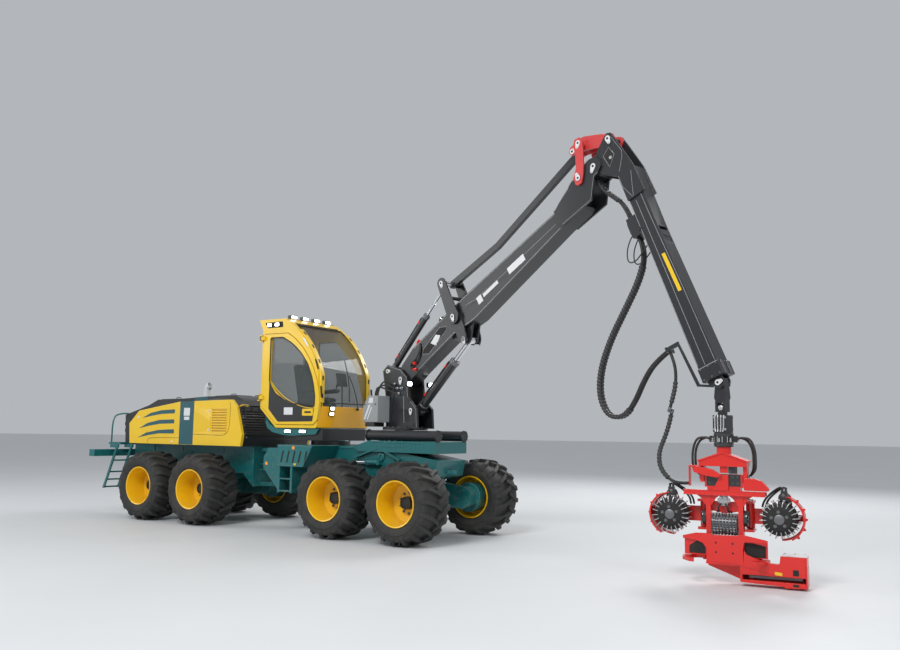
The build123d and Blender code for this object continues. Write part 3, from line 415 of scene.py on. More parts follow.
class Finish:
    """A Principled material in the making."""

    def __init__(self, name, **constants):
        self.material = bpy.data.materials.new(name)
        self.material.use_nodes = True
        self.tree = self.material.node_tree
        self.tree.nodes.clear()
        self.shader = self.tree.nodes.new("ShaderNodeBsdfPrincipled")
        output = self.tree.nodes.new("ShaderNodeOutputMaterial")
        self.tree.links.new(self.shader.outputs[0], output.inputs["Surface"])
        self.set(**constants)
        self.place = self.node("ShaderNodeTexCoord", out="Object")

    def set(self, **values):
        """Values or links of the shader's sockets, named with underscores."""
        for name, value in values.items():
            self.feed(self.shader.inputs[name.replace("_", " ")], value)

    def feed(self, socket, value):
        if isinstance(value, Val):
            self.tree.links.new(value.socket, socket)
        elif socket.type == "RGBA" and len(value) == 3:
            socket.default_value = (*value, 1)
        else:
            socket.default_value = value

    def node(self, kind, settings=(), out=0, **inputs):
        """Adds a node: its settings first, then its sockets."""
        node = self.tree.nodes.new(kind)
        for name, value in dict(settings).items():
            setattr(node, name, value)
        for name, value in inputs.items():
            key = int(name[1:]) if name[0] == "i" and name[1:].isdigit() else name.replace("_", " ")
            self.feed(node.inputs[key], value)
        return Val(self.tree, node.outputs[out])

    def noise(self, scale, detail=4.0, place=None, rough=0.55):
        return self.node("ShaderNodeTexNoise", Vector=place or self.place, Scale=scale, Detail=detail,
                         Roughness=rough)

    def blend(self, amount, first, second):
        """Colour mixed from the first to the second by an amount."""
        return self.node("ShaderNodeMix", {"data_type": "RGBA"}, out=2, i0=amount, i6=first, i7=second)

    def bump(self, height, strength, distance):
        self.set(Normal=self.node("ShaderNodeBump", Height=height, Strength=strength, Distance=distance))

    def height(self):
        """Height over the ground in metres, and how far a face looks up."""
        parts = self.tree.nodes.new("ShaderNodeSeparateXYZ")
        self.feed(parts.inputs[0], self.place)
        geometry = self.tree.nodes.new("ShaderNodeNewGeometry")
        looks = self.tree.nodes.new("ShaderNodeSeparateXYZ")
        self.tree.links.new(geometry.outputs["Normal"], looks.inputs[0])
        return Val(self.tree, parts.outputs[2]), Val(self.tree, looks.outputs[2])


DUST = (0.23, 0.20, 0.16)


def paint(name, colour, rough=0.28, coat=0.6, dust=0.25, edge=None, low_dirt=0.0):
    """Sprayed paint: slow shade drift, orange peel, dust where it looks up, edges made lighter as rubbed wear
    and as a painted highlight, splash low down.
    """
    f = Finish(name, Coat_Roughness=0.12, IOR=1.5)
    drift, speck = f.noise(1.7, 3), f.noise(38, 5)
    shade = f.blend(drift.above(0.5, 0.5) * 0.5, colour, tuple(c * 0.82 for c in colour))
    height, looks = f.height()
    settled = looks.above(0.75, 0.5) * f.noise(6, 6).above(0.5, 0.35) * dust
    splash = (1.4 - height).above(0.5, 1.4) * f.noise(14, 8, rough=0.7).above(0.56, 0.16) * low_dirt
    cover = settled + splash
    shade = f.blend(cover, shade, DUST)
    # Lighter edges: partly rubbed wear, partly a painted highlight where light catches the bevels.
    if edge:
        bevel = f.node("ShaderNodeBevel", {"samples": 4}, Radius=0.006)
        flat = Val(f.tree, f.tree.nodes.new("ShaderNodeNewGeometry").outputs["Normal"])
        turn = f.node("ShaderNodeVectorMath", {"operation": "DOT_PRODUCT"}, out=1, i0=bevel, i1=flat)
        edge_wear_and_highlight = (1 - turn).above(0.09, 0.1) * speck.above(0.5, 0.25)
        shade = f.blend(edge_wear_and_highlight * 0.7, shade, edge)
    f.set(Base_Color=shade, Roughness=rough + speck * 0.08 + cover * 0.5, Coat_Weight=coat - cover * coat)
    f.bump(f.noise(260, 2) * 0.6 + speck * 0.4, 0.09, 0.002)
    return f.material


def metal(name, colour, rough=0.3, grain=0.0, soot=0.2):
    """Bare or plated metal: drawn grain along the piece, and darker handling marks."""
    f = Finish(name, Metallic=1.0)
    blotch = f.noise(9, 6, rough=0.65)
    fine = f.noise(170, 3)
    shade = f.blend(blotch.above(0.55, 0.4) * soot, colour, tuple(c * 0.35 for c in colour))
    f.set(Base_Color=shade, Roughness=rough + blotch * 0.14 + fine * grain)
    f.bump(fine, 0.05 + grain * 0.3, 0.001)
    return f.material


def rubber(name, colour, rough=0.62, dust=0.5):
    """Rubber: dark, mottled, with dust in random patches."""
    f = Finish(name, Specular_IOR_Level=0.4)
    blotch, fine = f.noise(5, 7, rough=0.65), f.noise(90, 6)
    height, looks = f.height()
    held = blotch.above(0.52, 0.3) * fine.above(0.45, 0.4) * dust
    f.set(Base_Color=f.blend(held, colour, tuple(0.75 * c for c in DUST)),
          Roughness=rough + held * 0.3 + fine * 0.1)
    f.bump(fine + blotch * 0.6, 0.25, 0.004)
    return f.material


def glazing(name, tint, clear):
    """Tinted pane: mostly clear, glossy, with a faint film of dust."""
    f = Finish(name, Roughness=0.03, IOR=1.45)
    film = f.noise(3, 5).above(0.5, 0.6) * 0.06
    f.set(Base_Color=f.blend(film, tint, (0.6, 0.6, 0.58)), Alpha=clear + film)
    return f.material


def glow(name, colour, strength, spots=60.0):
    """Lamp lens: cut facets over a bright reflector; on parts that are no lamps its glow is painted light."""
    f = Finish(name, Roughness=0.08, Emission_Strength=strength)
    facet = f.node("ShaderNodeTexVoronoi", Vector=f.place, Scale=spots)
    f.set(Base_Color=f.blend(facet, colour, tuple(c * 0.6 for c in colour)),
          Emission_Color=f.blend(facet, colour, tuple(c * 0.7 for c in colour)))
    f.bump(facet, 0.3, 0.002)
    return f.material


def plastic(name, colour, rough=0.45, grain=300.0):
    """Moulded plastic with a fine leather grain and light scuffs."""
    f = Finish(name)
    scuff = f.noise(7, 7, rough=0.7).above(0.6, 0.2)
    f.set(Base_Color=f.blend(scuff * 0.25, colour, tuple(min(1.0, c * 2 + 0.03) for c in colour)),
          Roughness=rough + scuff * 0.15)
    f.bump(f.node("ShaderNodeTexVoronoi", Vector=f.place, Scale=grain), 0.15, 0.001)
    return f.material


def cloth(name, colour):
    """Seat cover: crossed threads and a soft sheen."""
    f = Finish(name, Sheen_Weight=0.3, Roughness=0.85)
    weave = f.node("ShaderNodeTexWave", {"bands_direction": "DIAGONAL"}, out=1, Vector=f.place, Scale=180.0,
                   Distortion=1.0)
    f.set(Base_Color=f.blend(f.noise(30, 5), colour, tuple(c * 1.8 for c in colour)))
    f.bump(weave, 0.3, 0.002)
    return f.material


def read_colour(name):
    return tuple(getattr(bpy.context.scene.harvester_colours, name))


FINISH = {}


def make_finishes():
    """Every finish of the machine, from the panel's colours."""
    yellow, teal = read_colour("yellow"), read_colour("teal")
    charcoal, red = read_colour("charcoal"), read_colour("red")
    # The edge colours below are lighter than their paints: rubbed wear and a painted highlight on the
    # bevelled edges.
    FINISH.update(yellow=paint("panel_yellow", yellow, coat=0.4, dust=0.1, low_dirt=0.1),
                  # Orange of the apron: the yellow in shade, painted.
                  orange=paint("apron_orange", read_colour("orange"), coat=0.3, dust=0.08),
                  rim_yellow=paint("rim_yellow", read_colour("rim"), rough=0.32, dust=0.12, low_dirt=0.12),
                  teal=paint("frame_teal_paint", teal, rough=0.34, coat=0.35, dust=0.12,
                             edge=(0.30, 0.42, 0.42), low_dirt=0.5),
                  # Teal of the band, also the painted shade inside the hood's slots.
                  stripe=paint("stripe_teal", read_colour("stripe"), rough=0.3),
                  charcoal=paint("crane_charcoal", charcoal, rough=0.36, coat=0.25, dust=0.12,
                                 edge=(0.16, 0.165, 0.17)),
                  # Light grey for lines along the crane's edges: painted highlights.
                  crest=paint("crane_edge_grey", (0.30, 0.31, 0.32), rough=0.32, dust=0.1),
                  knee=paint("knee_red_paint", read_colour("knee"), rough=0.35, edge=(0.5, 0.35, 0.33)),
                  red=paint("head_red_paint", red, rough=0.3, coat=0.4, dust=0.1, edge=(0.45, 0.08, 0.06)),
                  black=paint("black_satin", (0.012, 0.013, 0.014), rough=0.38, coat=0.3, dust=0.2),
                  grey=paint("cover_grey_paint", (0.30, 0.32, 0.33), rough=0.35),
                  white=paint("blank_plate", (0.72, 0.73, 0.74), rough=0.3, coat=0.2),
                  cylinder=paint("cylinder_black", (0.02, 0.021, 0.023), rough=0.25, edge=(0.2, 0.2, 0.2)),
                  tyre=rubber("tyre_rubber", (0.024, 0.0245, 0.025), dust=0.25),
                  # Black rubber for seals and other black parts, also painted as the shade in holes, slots,
                  # recesses and bays.
                  seal=rubber("seal_rubber", (0.012, 0.012, 0.012), dust=0.15),
                  sleeve=rubber("ribbed_sleeve", (0.035, 0.035, 0.037), rough=0.3, dust=0.1),
                  hose=rubber("plain_hose", (0.02, 0.02, 0.021), rough=0.45, dust=0.2),
                  chrome=metal("rod_chrome_plate", (0.82, 0.83, 0.85), rough=0.06, soot=0.05),
                  silver=paint("light_silver", (0.72, 0.73, 0.74), rough=0.3, coat=0.4, dust=0.15),
                  steel=metal("worn_dark_steel", (0.22, 0.22, 0.23), rough=0.34, grain=0.1),
                  bright=metal("spike_steel", (0.55, 0.55, 0.56), rough=0.3, grain=0.1),
                  iron=paint("engine_iron_paint", (0.08, 0.085, 0.09), rough=0.55, coat=0.0),
                  plastic=plastic("moulded_black", (0.02, 0.02, 0.021)),
                  glass=glazing("cab_glazing", (0.10, 0.12, 0.12), 0.30),
                  lens=glow("lamp_lens", (0.95, 0.97, 1.0), 6.0),
                  # Amber reflectors with a glow of their own: a painted glow, for they are no lamps.
                  amber=glow("amber_reflector", (0.95, 0.33, 0.02), 0.3),
                  # Red glow of the tail lamps, also painted on red reflectors and hose couplings, which are
                  # no lamps.
                  tail=glow("tail_red", (0.75, 0.02, 0.015), 0.4),
                  fabric=cloth("seat_weave", (0.03, 0.031, 0.034)))


# Pieces

def piece(name, finish, body, slot, *shapes, bevel=0.0, segments=2, smooth=38.0, stands_for=()):
    """One mesh of shapes in metres: doubles merged, smoothed by angle, edges rounded, riding on its body, or
    baked in place on no body when given a tuple.
    """
    points, faces = join(*shapes)
    mesh = bpy.data.meshes.new(name)
    mesh.from_pydata(points.tolist(), [], [row for group in faces for row in group.tolist()])
    made = bmesh.new()
    made.from_mesh(mesh)
    bmesh.ops.remove_doubles(made, verts=made.verts, dist=1e-6)
    bmesh.ops.dissolve_degenerate(made, edges=made.edges, dist=1e-6)
    bmesh.ops.recalc_face_normals(made, faces=made.faces)
    made.to_mesh(mesh)
    made.free()
    return dress(mesh, name, finish, body, bevel, segments, smooth, stands_for)


def dress(mesh, name, finish, body, bevel, segments, smooth, stands_for):
    """Gives a mesh its object, finish, smoothing, rounded edges and body; a tuple given as the body is not
    used, and the mesh is baked in place on no body.
    """
    mesh.materials.clear()
    mesh.materials.append(FINISH[finish])
    mesh.shade_smooth()
    mesh.set_sharp_from_angle(angle=math.radians(smooth))
    made = bpy.data.objects.new(name, mesh)
    bpy.context.scene.collection.objects.link(made)
    if bevel:
        edges = made.modifiers.new("Rounded edges", "BEVEL")
        edges.width, edges.segments = bevel * MM, segments
        edges.limit_method, edges.angle_limit = "ANGLE", math.radians(smooth)
        edges.harden_normals = True
        edges.use_clamp_overlap = True
    if isinstance(body, tuple):
        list(body)
        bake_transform(made)
    else:
        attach(made, body)
    if stands_for:
        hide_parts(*stands_for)
    return made


def softened(node, finish, bevel, segments=2, name=None):
    """A copy of a CAD node, its flat facets joined and its edges rounded, which stands for it."""
    source = frame["nodes"][node]
    mesh = source.data.copy()
    made = bmesh.new()
    made.from_mesh(mesh)
    bmesh.ops.remove_doubles(made, verts=made.verts, dist=2e-5)
    bmesh.ops.dissolve_limit(made, angle_limit=math.radians(0.6), verts=made.verts, edges=made.edges)
    made.to_mesh(mesh)
    made.free()
    return dress(mesh, name or f"{node}_skin", finish, source["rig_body"], bevel, segments,
                 32.0, (node,))


def smooth_curve(name, points, resolution):
    """Curve of one spline with the points as its control points: quadratic pieces that join smoothly."""
    curve = bpy.data.curves.new(name, "CURVE")
    curve.dimensions = "3D"
    spline = curve.splines.new("NURBS")
    spline.points.add(len(points) - 1)
    spline.points.foreach_set("co", np.column_stack([points, np.ones(len(points))]).ravel())
    spline.order_u = 3
    spline.use_endpoint_u = True
    curve.resolution_u = resolution
    return curve


def cord(name, points, diameter, body, finish, stands_for=()):
    """A free hose: one smooth spline with the route's points as its control points."""
    curve = smooth_curve(name, points, 10)
    curve.bevel_depth = diameter / 2
    curve.bevel_resolution = 4
    curve.use_fill_caps = True
    curve.materials.append(FINISH[finish])
    made = bpy.data.objects.new(name, curve)
    bpy.context.scene.collection.objects.link(made)
    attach(made, body)
    if stands_for:
        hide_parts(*stands_for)
    tuple(points[0])
    return made


class HarvesterColours(bpy.types.PropertyGroup):
    """Paint colours of the machine."""

    yellow: bpy.props.FloatVectorProperty(name="Panels", description="Hood and cab paint", subtype="COLOR",
                                          default=(0.86, 0.55, 0.01))
    # The apron colour is the yellow paint in shade, painted as a colour of its own.
    orange: bpy.props.FloatVectorProperty(name="Apron", description="Panel under the windscreen",
                                          subtype="COLOR", default=(0.93, 0.44, 0.006))
    rim: bpy.props.FloatVectorProperty(name="Rims", description="Wheel rims", subtype="COLOR",
                                       default=(0.94, 0.54, 0.004))
    teal: bpy.props.FloatVectorProperty(name="Frames", description="Frames and axles", subtype="COLOR",
                                        default=(0.004, 0.135, 0.14))
    # Teal of the band's paint, also painted as the shade inside the hood's slots.
    stripe: bpy.props.FloatVectorProperty(name="Stripes", description="Hood stripes and band",
                                          subtype="COLOR", default=(0.004, 0.085, 0.11))
    charcoal: bpy.props.FloatVectorProperty(name="Crane", description="Crane paint", subtype="COLOR",
                                            default=(0.012, 0.013, 0.016))
    knee: bpy.props.FloatVectorProperty(name="Knee", description="Links at the knee", subtype="COLOR",
                                        default=(0.62, 0.04, 0.04))
    red: bpy.props.FloatVectorProperty(name="Head", description="Felling head paint", subtype="COLOR",
                                       default=(0.72, 0.014, 0.008))


class HarvesterSizes(bpy.types.PropertyGroup):
    """Sizes of the details that a user may change."""

    lug_height: bpy.props.FloatProperty(name="Tyre lug height",
                                        description="Lugs over the carcass, in millimetres", default=56.0,
                                        min=20.0, max=70.0)
    rounding: bpy.props.FloatProperty(name="Edge rounding",
                                      description="Rounding of plate edges, in millimetres", default=6.0,
                                      min=1.0, max=15.0)
    camera_lens: bpy.props.FloatProperty(name="Lens", description="Focal length of the camera",
                                         default=35.5256, unit="CAMERA")


# Wheels

HUBS = {"front_1": 0.0, "front_2": -1500.0, "rear_1": -4846.0, "rear_2": -6346.0}
HUB_Z = 669.17
PEDESTAL_Z = 1640.0
WHEEL_OUT = 1098.0
TREAD_R = 610.0
LUGS = 18


def lug(height):
    """One lug as a grid: a line bent from the middle groove to the shoulder, across it a tapered block."""
    u = np.linspace(0, 1, 9)
    along = -28 + 385 * u
    drift = -74 + 150 * u + 20 * np.sin(math.pi * u)
    tread = np.interp(along, (-30, 270, 330, 357), (TREAD_R + 2, TREAD_R - 8, TREAD_R - 44, TREAD_R - 92))
    crown = np.interp(along, (-30, 240, 320, 357), (height, height - 3, height - 6, height - 20))
    half = np.interp(u, (0, 0.5, 1), (30, 34, 40))
    across = np.array([-1.35, -1.0, -0.82, 0.82, 1.0, 1.35])
    rise = np.array([-0.35, 0.75, 1.0, 1.0, 0.75, -0.35])
    radius = tread[:, None] + crown[:, None] * rise
    angle = (drift[:, None] + half[:, None] * across) / 640
    rings = np.stack([radius * np.cos(angle), radius * np.sin(angle), along[:, None] + 0 * angle], -1)
    return closed_tube(rings[:, ::-1])


def tyre_shape(height):
    """Carcass turned from its profile, with lugs staggered on its two halves."""
    profile = [(372, -318), (392, -338), (420, -352), (470, -356), (474, -360), (486, -360), (490, -356),
               (540, -350), (575, -338), (596, -300), (606, -200), (611, 0), (606, 200), (596, 300),
               (575, 338), (540, 350), (490, 356), (486, 360), (474, 360), (470, 356), (420, 352), (392, 338),
               (372, 318)]
    inside = [(365, 300), (365, -300)]
    rings = circles(profile + inside + profile[:1], 96)
    block = around(lug(height), LUGS)
    points, faces = around(lug(height), LUGS, math.pi / LUGS)
    other = (points * (1, 1, -1), [group[:, ::-1] for group in faces])
    return join(grid(rings, round_columns=True), block, other)


def rim_shape():
    """Deep rim open to the outside: flanges, drop centre, dish and hub boss turned from one profile."""
    profile = [(105, -58), (300, -58), (318, -50), (322, -20), (322, 120), (332, 150), (332, 250), (344, 300),
               (347, 330), (366, 338), (372, 330), (368, 312), (352, 300), (346, 250), (346, 150), (334, 110),
               (334, -250), (352, -300), (368, -312), (372, -330), (366, -338), (347, -330), (330, -250),
               (322, -90), (300, -85), (105, -85)]
    return grid(circles(profile[::-1] + profile[-1:], 72), round_columns=True)


class HARVESTER_OT_wheels(bpy.types.Operator):
    """Eight lugged tyres on deep rims, with hubs, wheel bolts and valves"""

    bl_idname = "harvester.wheels"
    bl_label = "Wheels"

    def execute(self, context):
        height = context.scene.harvester_sizes.lug_height
        tyre, rim = tyre_shape(height), rim_shape()
        hub = join(turned([(104, -80), (104, 40), (98, 58), (84, 64), (84, 50), (60, 46), (0.1, 44)], 40),
                   around(moved(button(9, 40, 52, 7, 55, 6), (72, 0, 8)), 8))
        nut = join(button(24, -60, -52, 20, -50, 16), button(17, -52, -28, 14, -25, 6))
        nuts = around(moved(nut, (170, 0, 0)), 10, 0.3)
        valve = moved(join(button(20, -60, -40, 16, -34, 16), button(9, -40, 4, 7, 8, 10)), (262, 0, 2))
        for hub_name, x in HUBS.items():
            for side, way in (("right", -1), ("left", 1)):
                body = node = f"wheel_{hub_name}_{side}"
                origin = SIDE.origin + np.array([x, way * WHEEL_OUT, HUB_Z]) * MM
                place = Place(origin, (-way, 0, 0), (0, way, 0))
                tyre_piece = piece(f"tyre_{hub_name}_{side}", "tyre", body, "wheel_parts", place.put(tyre),
                                   smooth=40)
                piece(f"rim_{hub_name}_{side}", "rim_yellow", body, "wheel_parts", place.put(rim), smooth=30)
                piece(f"hub_{hub_name}_{side}", "black", body, "wheel_parts", place.put(hub), smooth=30)
                piece(f"wheel_bolts_{hub_name}_{side}", "steel", body, "wheel_parts", place.put(nuts, valve))
                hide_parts(node)
        return {"FINISHED"}


# Skins: the CAD solids with rounded edges

SKINS = (
    # node, finish, share of the edge rounding
    ("front_frame", "teal", 1.0), ("rear_frame", "teal", 1.0), ("front_axle", "teal", 1.6),
    ("rear_axle", "teal", 1.6), ("step_boxes", "teal", 1.0), ("cab_base", "teal", 1.2),
    ("rear_ladder", "teal", 0.8), ("hood_panels", "yellow", 1.6), ("hood_top", "black", 1.8),
    ("grille", "black", 0.7), ("cab_shell", "yellow", 1.5), ("cab_door", "yellow", 1.2),
    ("operator_seat", "fabric", 3.5), ("work_lamps", "black", 1.2),
    ("slew_base", "charcoal", 1.0), ("column", "charcoal", 1.0), ("valve_cover", "grey", 2.0),
    ("boom", "charcoal", 1.0), ("lever", "charcoal", 0.8), ("strut", "charcoal", 0.8),
    ("knee_links", "knee", 0.8),
    ("knee_arm", "knee", 0.8), ("jib", "charcoal", 1.0), ("extension", "charcoal", 0.8),
    ("tip_link", "charcoal", 0.8), ("tip_fork", "charcoal", 0.8), ("rotator", "black", 1.0),
    ("lift_barrel", "cylinder", 0.6), ("reach_barrel", "cylinder", 0.6),
    ("steering_barrel_left", "cylinder", 0.5),
    ("steering_barrel_right", "cylinder", 0.5), ("lift_rod", "chrome", 0.4), ("reach_rod", "chrome", 0.4),
    ("steering_rod_left", "chrome", 0.4), ("steering_rod_right", "chrome", 0.4),
    ("head_yoke", "red", 1.0), ("head_frame", "red", 0.8), ("feed_arm_left", "red", 0.8),
    ("feed_arm_right", "red", 0.8), ("knife_left", "red", 0.8), ("knife_right", "red", 0.8),
    ("saw_bar", "steel", 0.4),
)


class HARVESTER_OT_skins(bpy.types.Operator):
    """The welded and cast parts with rounded edges, and the finishes of the nodes that stay"""

    bl_idname = "harvester.skins"
    bl_label = "Frames, panels and crane"

    def execute(self, context):
        rounding = context.scene.harvester_sizes.rounding
        for node, finish, share in SKINS:
            softened(node, finish, rounding * share)
        for node, finish in (("engine", "iron"), ("cab_glass", "glass"), ("door_glass", "glass")):
            mesh = frame["nodes"][node].data
            mesh.materials.clear()
            mesh.materials.append(FINISH[finish])
        return {"FINISHED"}


# Hood

# Outlines of the hood's side slots, closed by dark teal inlays painted as the shade inside the openings.
HOOD_SLOTS = (
    ((-6952, 1999), (-6692, 2103), (-6345, 2160), (-5941, 2177), (-5945, 2097), (-6339, 2085), (-6687, 2041)),
    ((-7042, 1787), (-6782, 1897), (-6399, 1963), (-5952, 1977), (-5946, 1897), (-6392, 1884), (-6741, 1840)),
    ((-7079, 1596), (-6801, 1703), (-6417, 1760), (-5947, 1781), (-5940, 1697), (-6411, 1690), (-6725, 1654)),
)
HOOD_SEAMS = (
    ((-5789, 1611), (-6300, 1607), (-6640, 1598), (-6720, 1585), (-6755, 1545), (-6762, 1484)),
    ((-5376, 1690), (-4900, 1683), (-4560, 1676), (-4470, 1692), (-4400, 1740), (-4360, 1820), (-4344, 2000),
     (-4336, 2230), (-4360, 2310)),
)
CREST = ((-7990, 2070), (-7200, 2280), (-6930, 2390), (-6290, 2400), (-5310, 2445), (-4600, 2459),
         (-4350, 2360))
SHOULDER = ((-7366, 1885), (-7068, 2142), (-5798, 2320), (-4320, 2352))
HOOD_OUT = 950.0
GRILLE_FOOT_Z, GRILLE_LEAN = 1690, 0.314


def laid(line, first, last, thick, margin=0.3):
    """Outline of a flat cover lying on a line of (x, z) between two x."""
    x, z = np.asarray(line, float).T
    low = [(at, np.interp(at, x, z) + margin) for at in (first, last)]
    return low + [(at, level + thick) for at, level in low[::-1]]


def pipe(path, outer, inner, sides=32):
    """Open pipe along a path: outside, end rims and inside in one surface."""
    ends = [closed_tube_rings(path, radius, sides) for radius in (outer, inner)]
    rings = np.concatenate([ends[0], ends[1][::-1]])
    return grid(rings, round_rows=True, round_columns=True)


class HARVESTER_OT_hood(bpy.types.Operator):
    """Hood trim: slots painted dark teal as shade, band, seams, louvre lips, locks, plates, lids, stack,
    grille bars and rear lamps
    """

    bl_idname = "harvester.hood"
    bl_label = "Hood details"

    def execute(self, context):
        out = HOOD_OUT
        # Painted shade: dark teal inlays stand for the openings of the slots.
        slot_shade = join(*[slab(stripe, 14, out - 1, out + 3) for stripe in HOOD_SLOTS])
        piece("hood_stripes", "stripe", "rear", "hood_yellow", both(slot_shade), bevel=1.2)
        band = join(prism([(-5785, 1486), (-5373, 1486), (-5373, 2337), (-5785, 2328)], out - 1, out + 2.5),
                    prism(laid(((-5798, 2330), (-4316, 2362)), -5785, -5373, 3), 881, out + 2.5),
                    prism(laid(SHOULDER, -5785, -5373, 3), 602, 880),
                    prism([(-5785, 2323), (-5373, 2332), (-5373, 2441), (-5785, 2422)], 600.3, 603.3))
        crest_band = prism(laid(CREST, -5785, -5373, 3), -603.3, 603.3)
        piece("hood_band", "stripe", "rear", "hood_yellow", both(band), SIDE.put(crest_band), bevel=0.8)
        seams = join(*[strip(bend(path), 8, out - 0.5, out + 0.8) for path in HOOD_SEAMS])
        piece("hood_seams", "seal", "rear", "black_shell", both(seams))
        lips = [tube([(-4862, z, out), (-4438, z, out)], 7, 10) for z in 1780 + 50 * np.arange(9)]
        frame_line = gasket(rounded([(-4880, 1728), (-4420, 1728), (-4420, 2200), (-4880, 2200)], 40), 6, out)
        piece("hood_louvres", "yellow", "rear", "hood_yellow", both(join(*lips, frame_line)))
        lock = turned([(24, out), (24, out + 5), (20, out + 9), (11, out + 9), (11, out + 5), (0.1, out + 5)])
        spots = [(-7073, 2015, 0), (-4929, 2149, 0), (-4935, 1778, 0), (-6000, 1530, 0)]
        piece("hood_locks", "silver", "rear", "hood_yellow", both(moved(lock, *spots)))
        plates = [slab(box_outline(*ends), 8, out + 2, out + 4.5)
                  for ends in ((-5667, 2050, -5489, 2204), (-5654, 1966, -5499, 2031))]
        rear_plate = slab(box_outline(-7662, 1964, -7430, 2045), 8, 600, 603)
        piece("hood_blank_plates", "white", "rear", "hood_yellow", both(join(*plates, rear_plate)), bevel=0.6)
        # Painted glow: the red reflectors emit light.
        red_dot = turned([(34, 600), (34, 606), (30, 610), (0.1, 611)])
        piece("hood_reflectors", "tail", "rear", "lamp_body", both(moved(red_dot, (-7560, 1640, 0))))
        lids = [pair(laid(CREST, *ends, 12), 110, 540)
                for ends in ((-7880, -7290), (-6880, -6340), (-5240, -4660))]
        piece("hood_lids", "black", "rear", "black_shell", SIDE.put(*lids), bevel=5.0, segments=3)
        knobs = [routed([(x - 70, z, 0), (x - 70, z + 32, 0), (x + 70, z + 38, 0), (x + 70, z + 8, 0)], 7, 10)
                 for x, z in ((-7580, 2192), (-6610, 2409), (-4950, 2464))]
        handles = moved(join(*knobs), (0, 0, -325), (0, 0, 325))
        piece("hood_lid_handles", "plastic", "rear", "black_shell", SIDE.put(handles))
        stack = bend([(-6112, 0, 2385), (-6112, 0, 2480), (-6112, 0, 2590), (-6095, 0, 2660),
                      (-6020, 0, 2715)])
        rain = turned([(92, 2440), (92, 2456), (76, 2462), (76, 2440)])
        piece("exhaust_stack", "silver", "rear", "stack_silver", TOP.put(pipe(stack, 72, 66)),
              TOP.put(moved(rain, (-6112, 0, 0))), stands_for=("exhaust",))
        soot = turned([(65, 2570), (65, 2572), (0.1, 2572)])
        piece("exhaust_inside", "seal", "rear", "stack_silver", TOP.put(moved(soot, (-6112, 0, 0))))
        upright_bars = [tube([(-4030, n, 1620), (-4155.56, n, 2215)], 7, 8) for n in range(-760, 761, 190)]
        piece("grille_bars", "black", "rear", "black_shell", TOP.put(*upright_bars))
        lips = []
        for z in range(1640, 2200, 75):
            foot, head = -4010 - (z - GRILLE_FOOT_Z) * GRILLE_LEAN, -4204 + (z - GRILLE_FOOT_Z) * 0.012
            lips += [boxes((head, n, z, foot, n + 9, z + 20)) for n in (-832, 824)]
        piece("grille_lips", "grey", "rear", "black_shell", TOP.put(*lips), bevel=1.0)
        handle = routed([(-4180, -684, 2235), (-4140, -684, 2252), (-4125, -700, 2262), (-4125, -845, 2262),
                         (-4140, -860, 2252), (-4180, -860, 2235)], 11)
        piece("grille_handle", "yellow", "rear", "hood_yellow", TOP.put(handle))
        louvres = boxes(*[(-480, z, 7952 + (z - 1520) * 0.073, 480, z + 22, 7975 + (z - 1520) * 0.073)
                          for z in range(1560, 2000, 44)])
        piece("hood_rear_louvres", "black", "rear", "black_shell", BACK.put(louvres), bevel=2.5)
        lamp = turned([(52, 0), (58, 8), (58, 24), (50, 24), (48, 16), (0.1, 14)])
        rear_lamps = moved(lamp, (-540, 1880, 7974), (540, 1880, 7974), (-540, 1740, 7963), (540, 1740, 7963))
        piece("rear_lamp_bodies", "plastic", "rear", "lamp_body", BACK.put(rear_lamps))
        lens = turned([(47, 15), (47, 19), (30, 23), (0.1, 24)])
        piece("rear_lamp_lenses", "lens", "rear", "lamp_body",
              BACK.put(moved(lens, (-540, 1880, 7974), (540, 1880, 7974))))
        piece("tail_lamp_lenses", "tail", "rear", "lamp_body",
              BACK.put(moved(lens, (-540, 1740, 7963), (540, 1740, 7963))))
        return {"FINISHED"}


# Cab

SCREEN_ARC = ((-2212, 2300), (-2440, 3120), (-3204, 3885))
DOOR_FACE = 730.0
PANE = ((-3240, 3530), (-3560, 3530), (-3560, 2720), (-3500, 2610), (-3380, 2470), (-3150, 2350),
        (-2900, 2285), (-2640, 2250), (-2400, 2232), (-2395, 2420), (-2430, 2600), (-2500, 2810),
        (-2600, 3020), (-2760, 3210), (-2980, 3390))
SLOTS = (((-2756, 3498), (-2706, 3495), (-2593, 3342), (-2637, 3340)),
         ((-2435, 3090), (-2402, 3093), (-2327, 2908), (-2362, 2906)),
         ((-2284, 2601), (-2241, 2600), (-2226, 2399), (-2264, 2399)))


def arc_through(first, middle, last, steps=25):
    """Points on the circle through three points."""
    points = np.array((first, middle, last), float)
    solve = 2 * (points[1:] - points[0])
    centre = np.linalg.solve(solve, (points[1:] ** 2).sum(1) - (points[0] ** 2).sum())
    a = np.unwrap(np.arctan2(*(points - centre).T[::-1]))
    turn = np.linspace(a[0], a[2], steps)
    return centre + np.hypot(*(points[0] - centre)) * np.column_stack([np.cos(turn), np.sin(turn)])


def apron_bulge(y):
    """Round front of the cab seen from above: a parabola that is 130 deep over 720 to each side."""
    return -2340 + 130 * (1 - (y / 720) ** 2)


def apron_x(y, z):
    """Front face of the cab under the windscreen: the side line or the bulge, whichever is further back."""
    side = -2251 + (z - 1948) * 39 / 352
    return np.minimum(side, apron_bulge(y))


def lamp_body(width, height, depth):
    """Rounded lamp case with a rim round its front at n = 0, and its lens."""
    outline = rounded(box_outline(-width / 2, -height / 2, width / 2, height / 2), height * 0.3)
    case = join(prism(outline, -depth, 0), gasket(outline, 4, 0))
    lens = slab(box_outline(8 - width / 2, 8 - height / 2, width / 2 - 8, height / 2 - 8), height * 0.25, -1,
                3)
    return case, lens


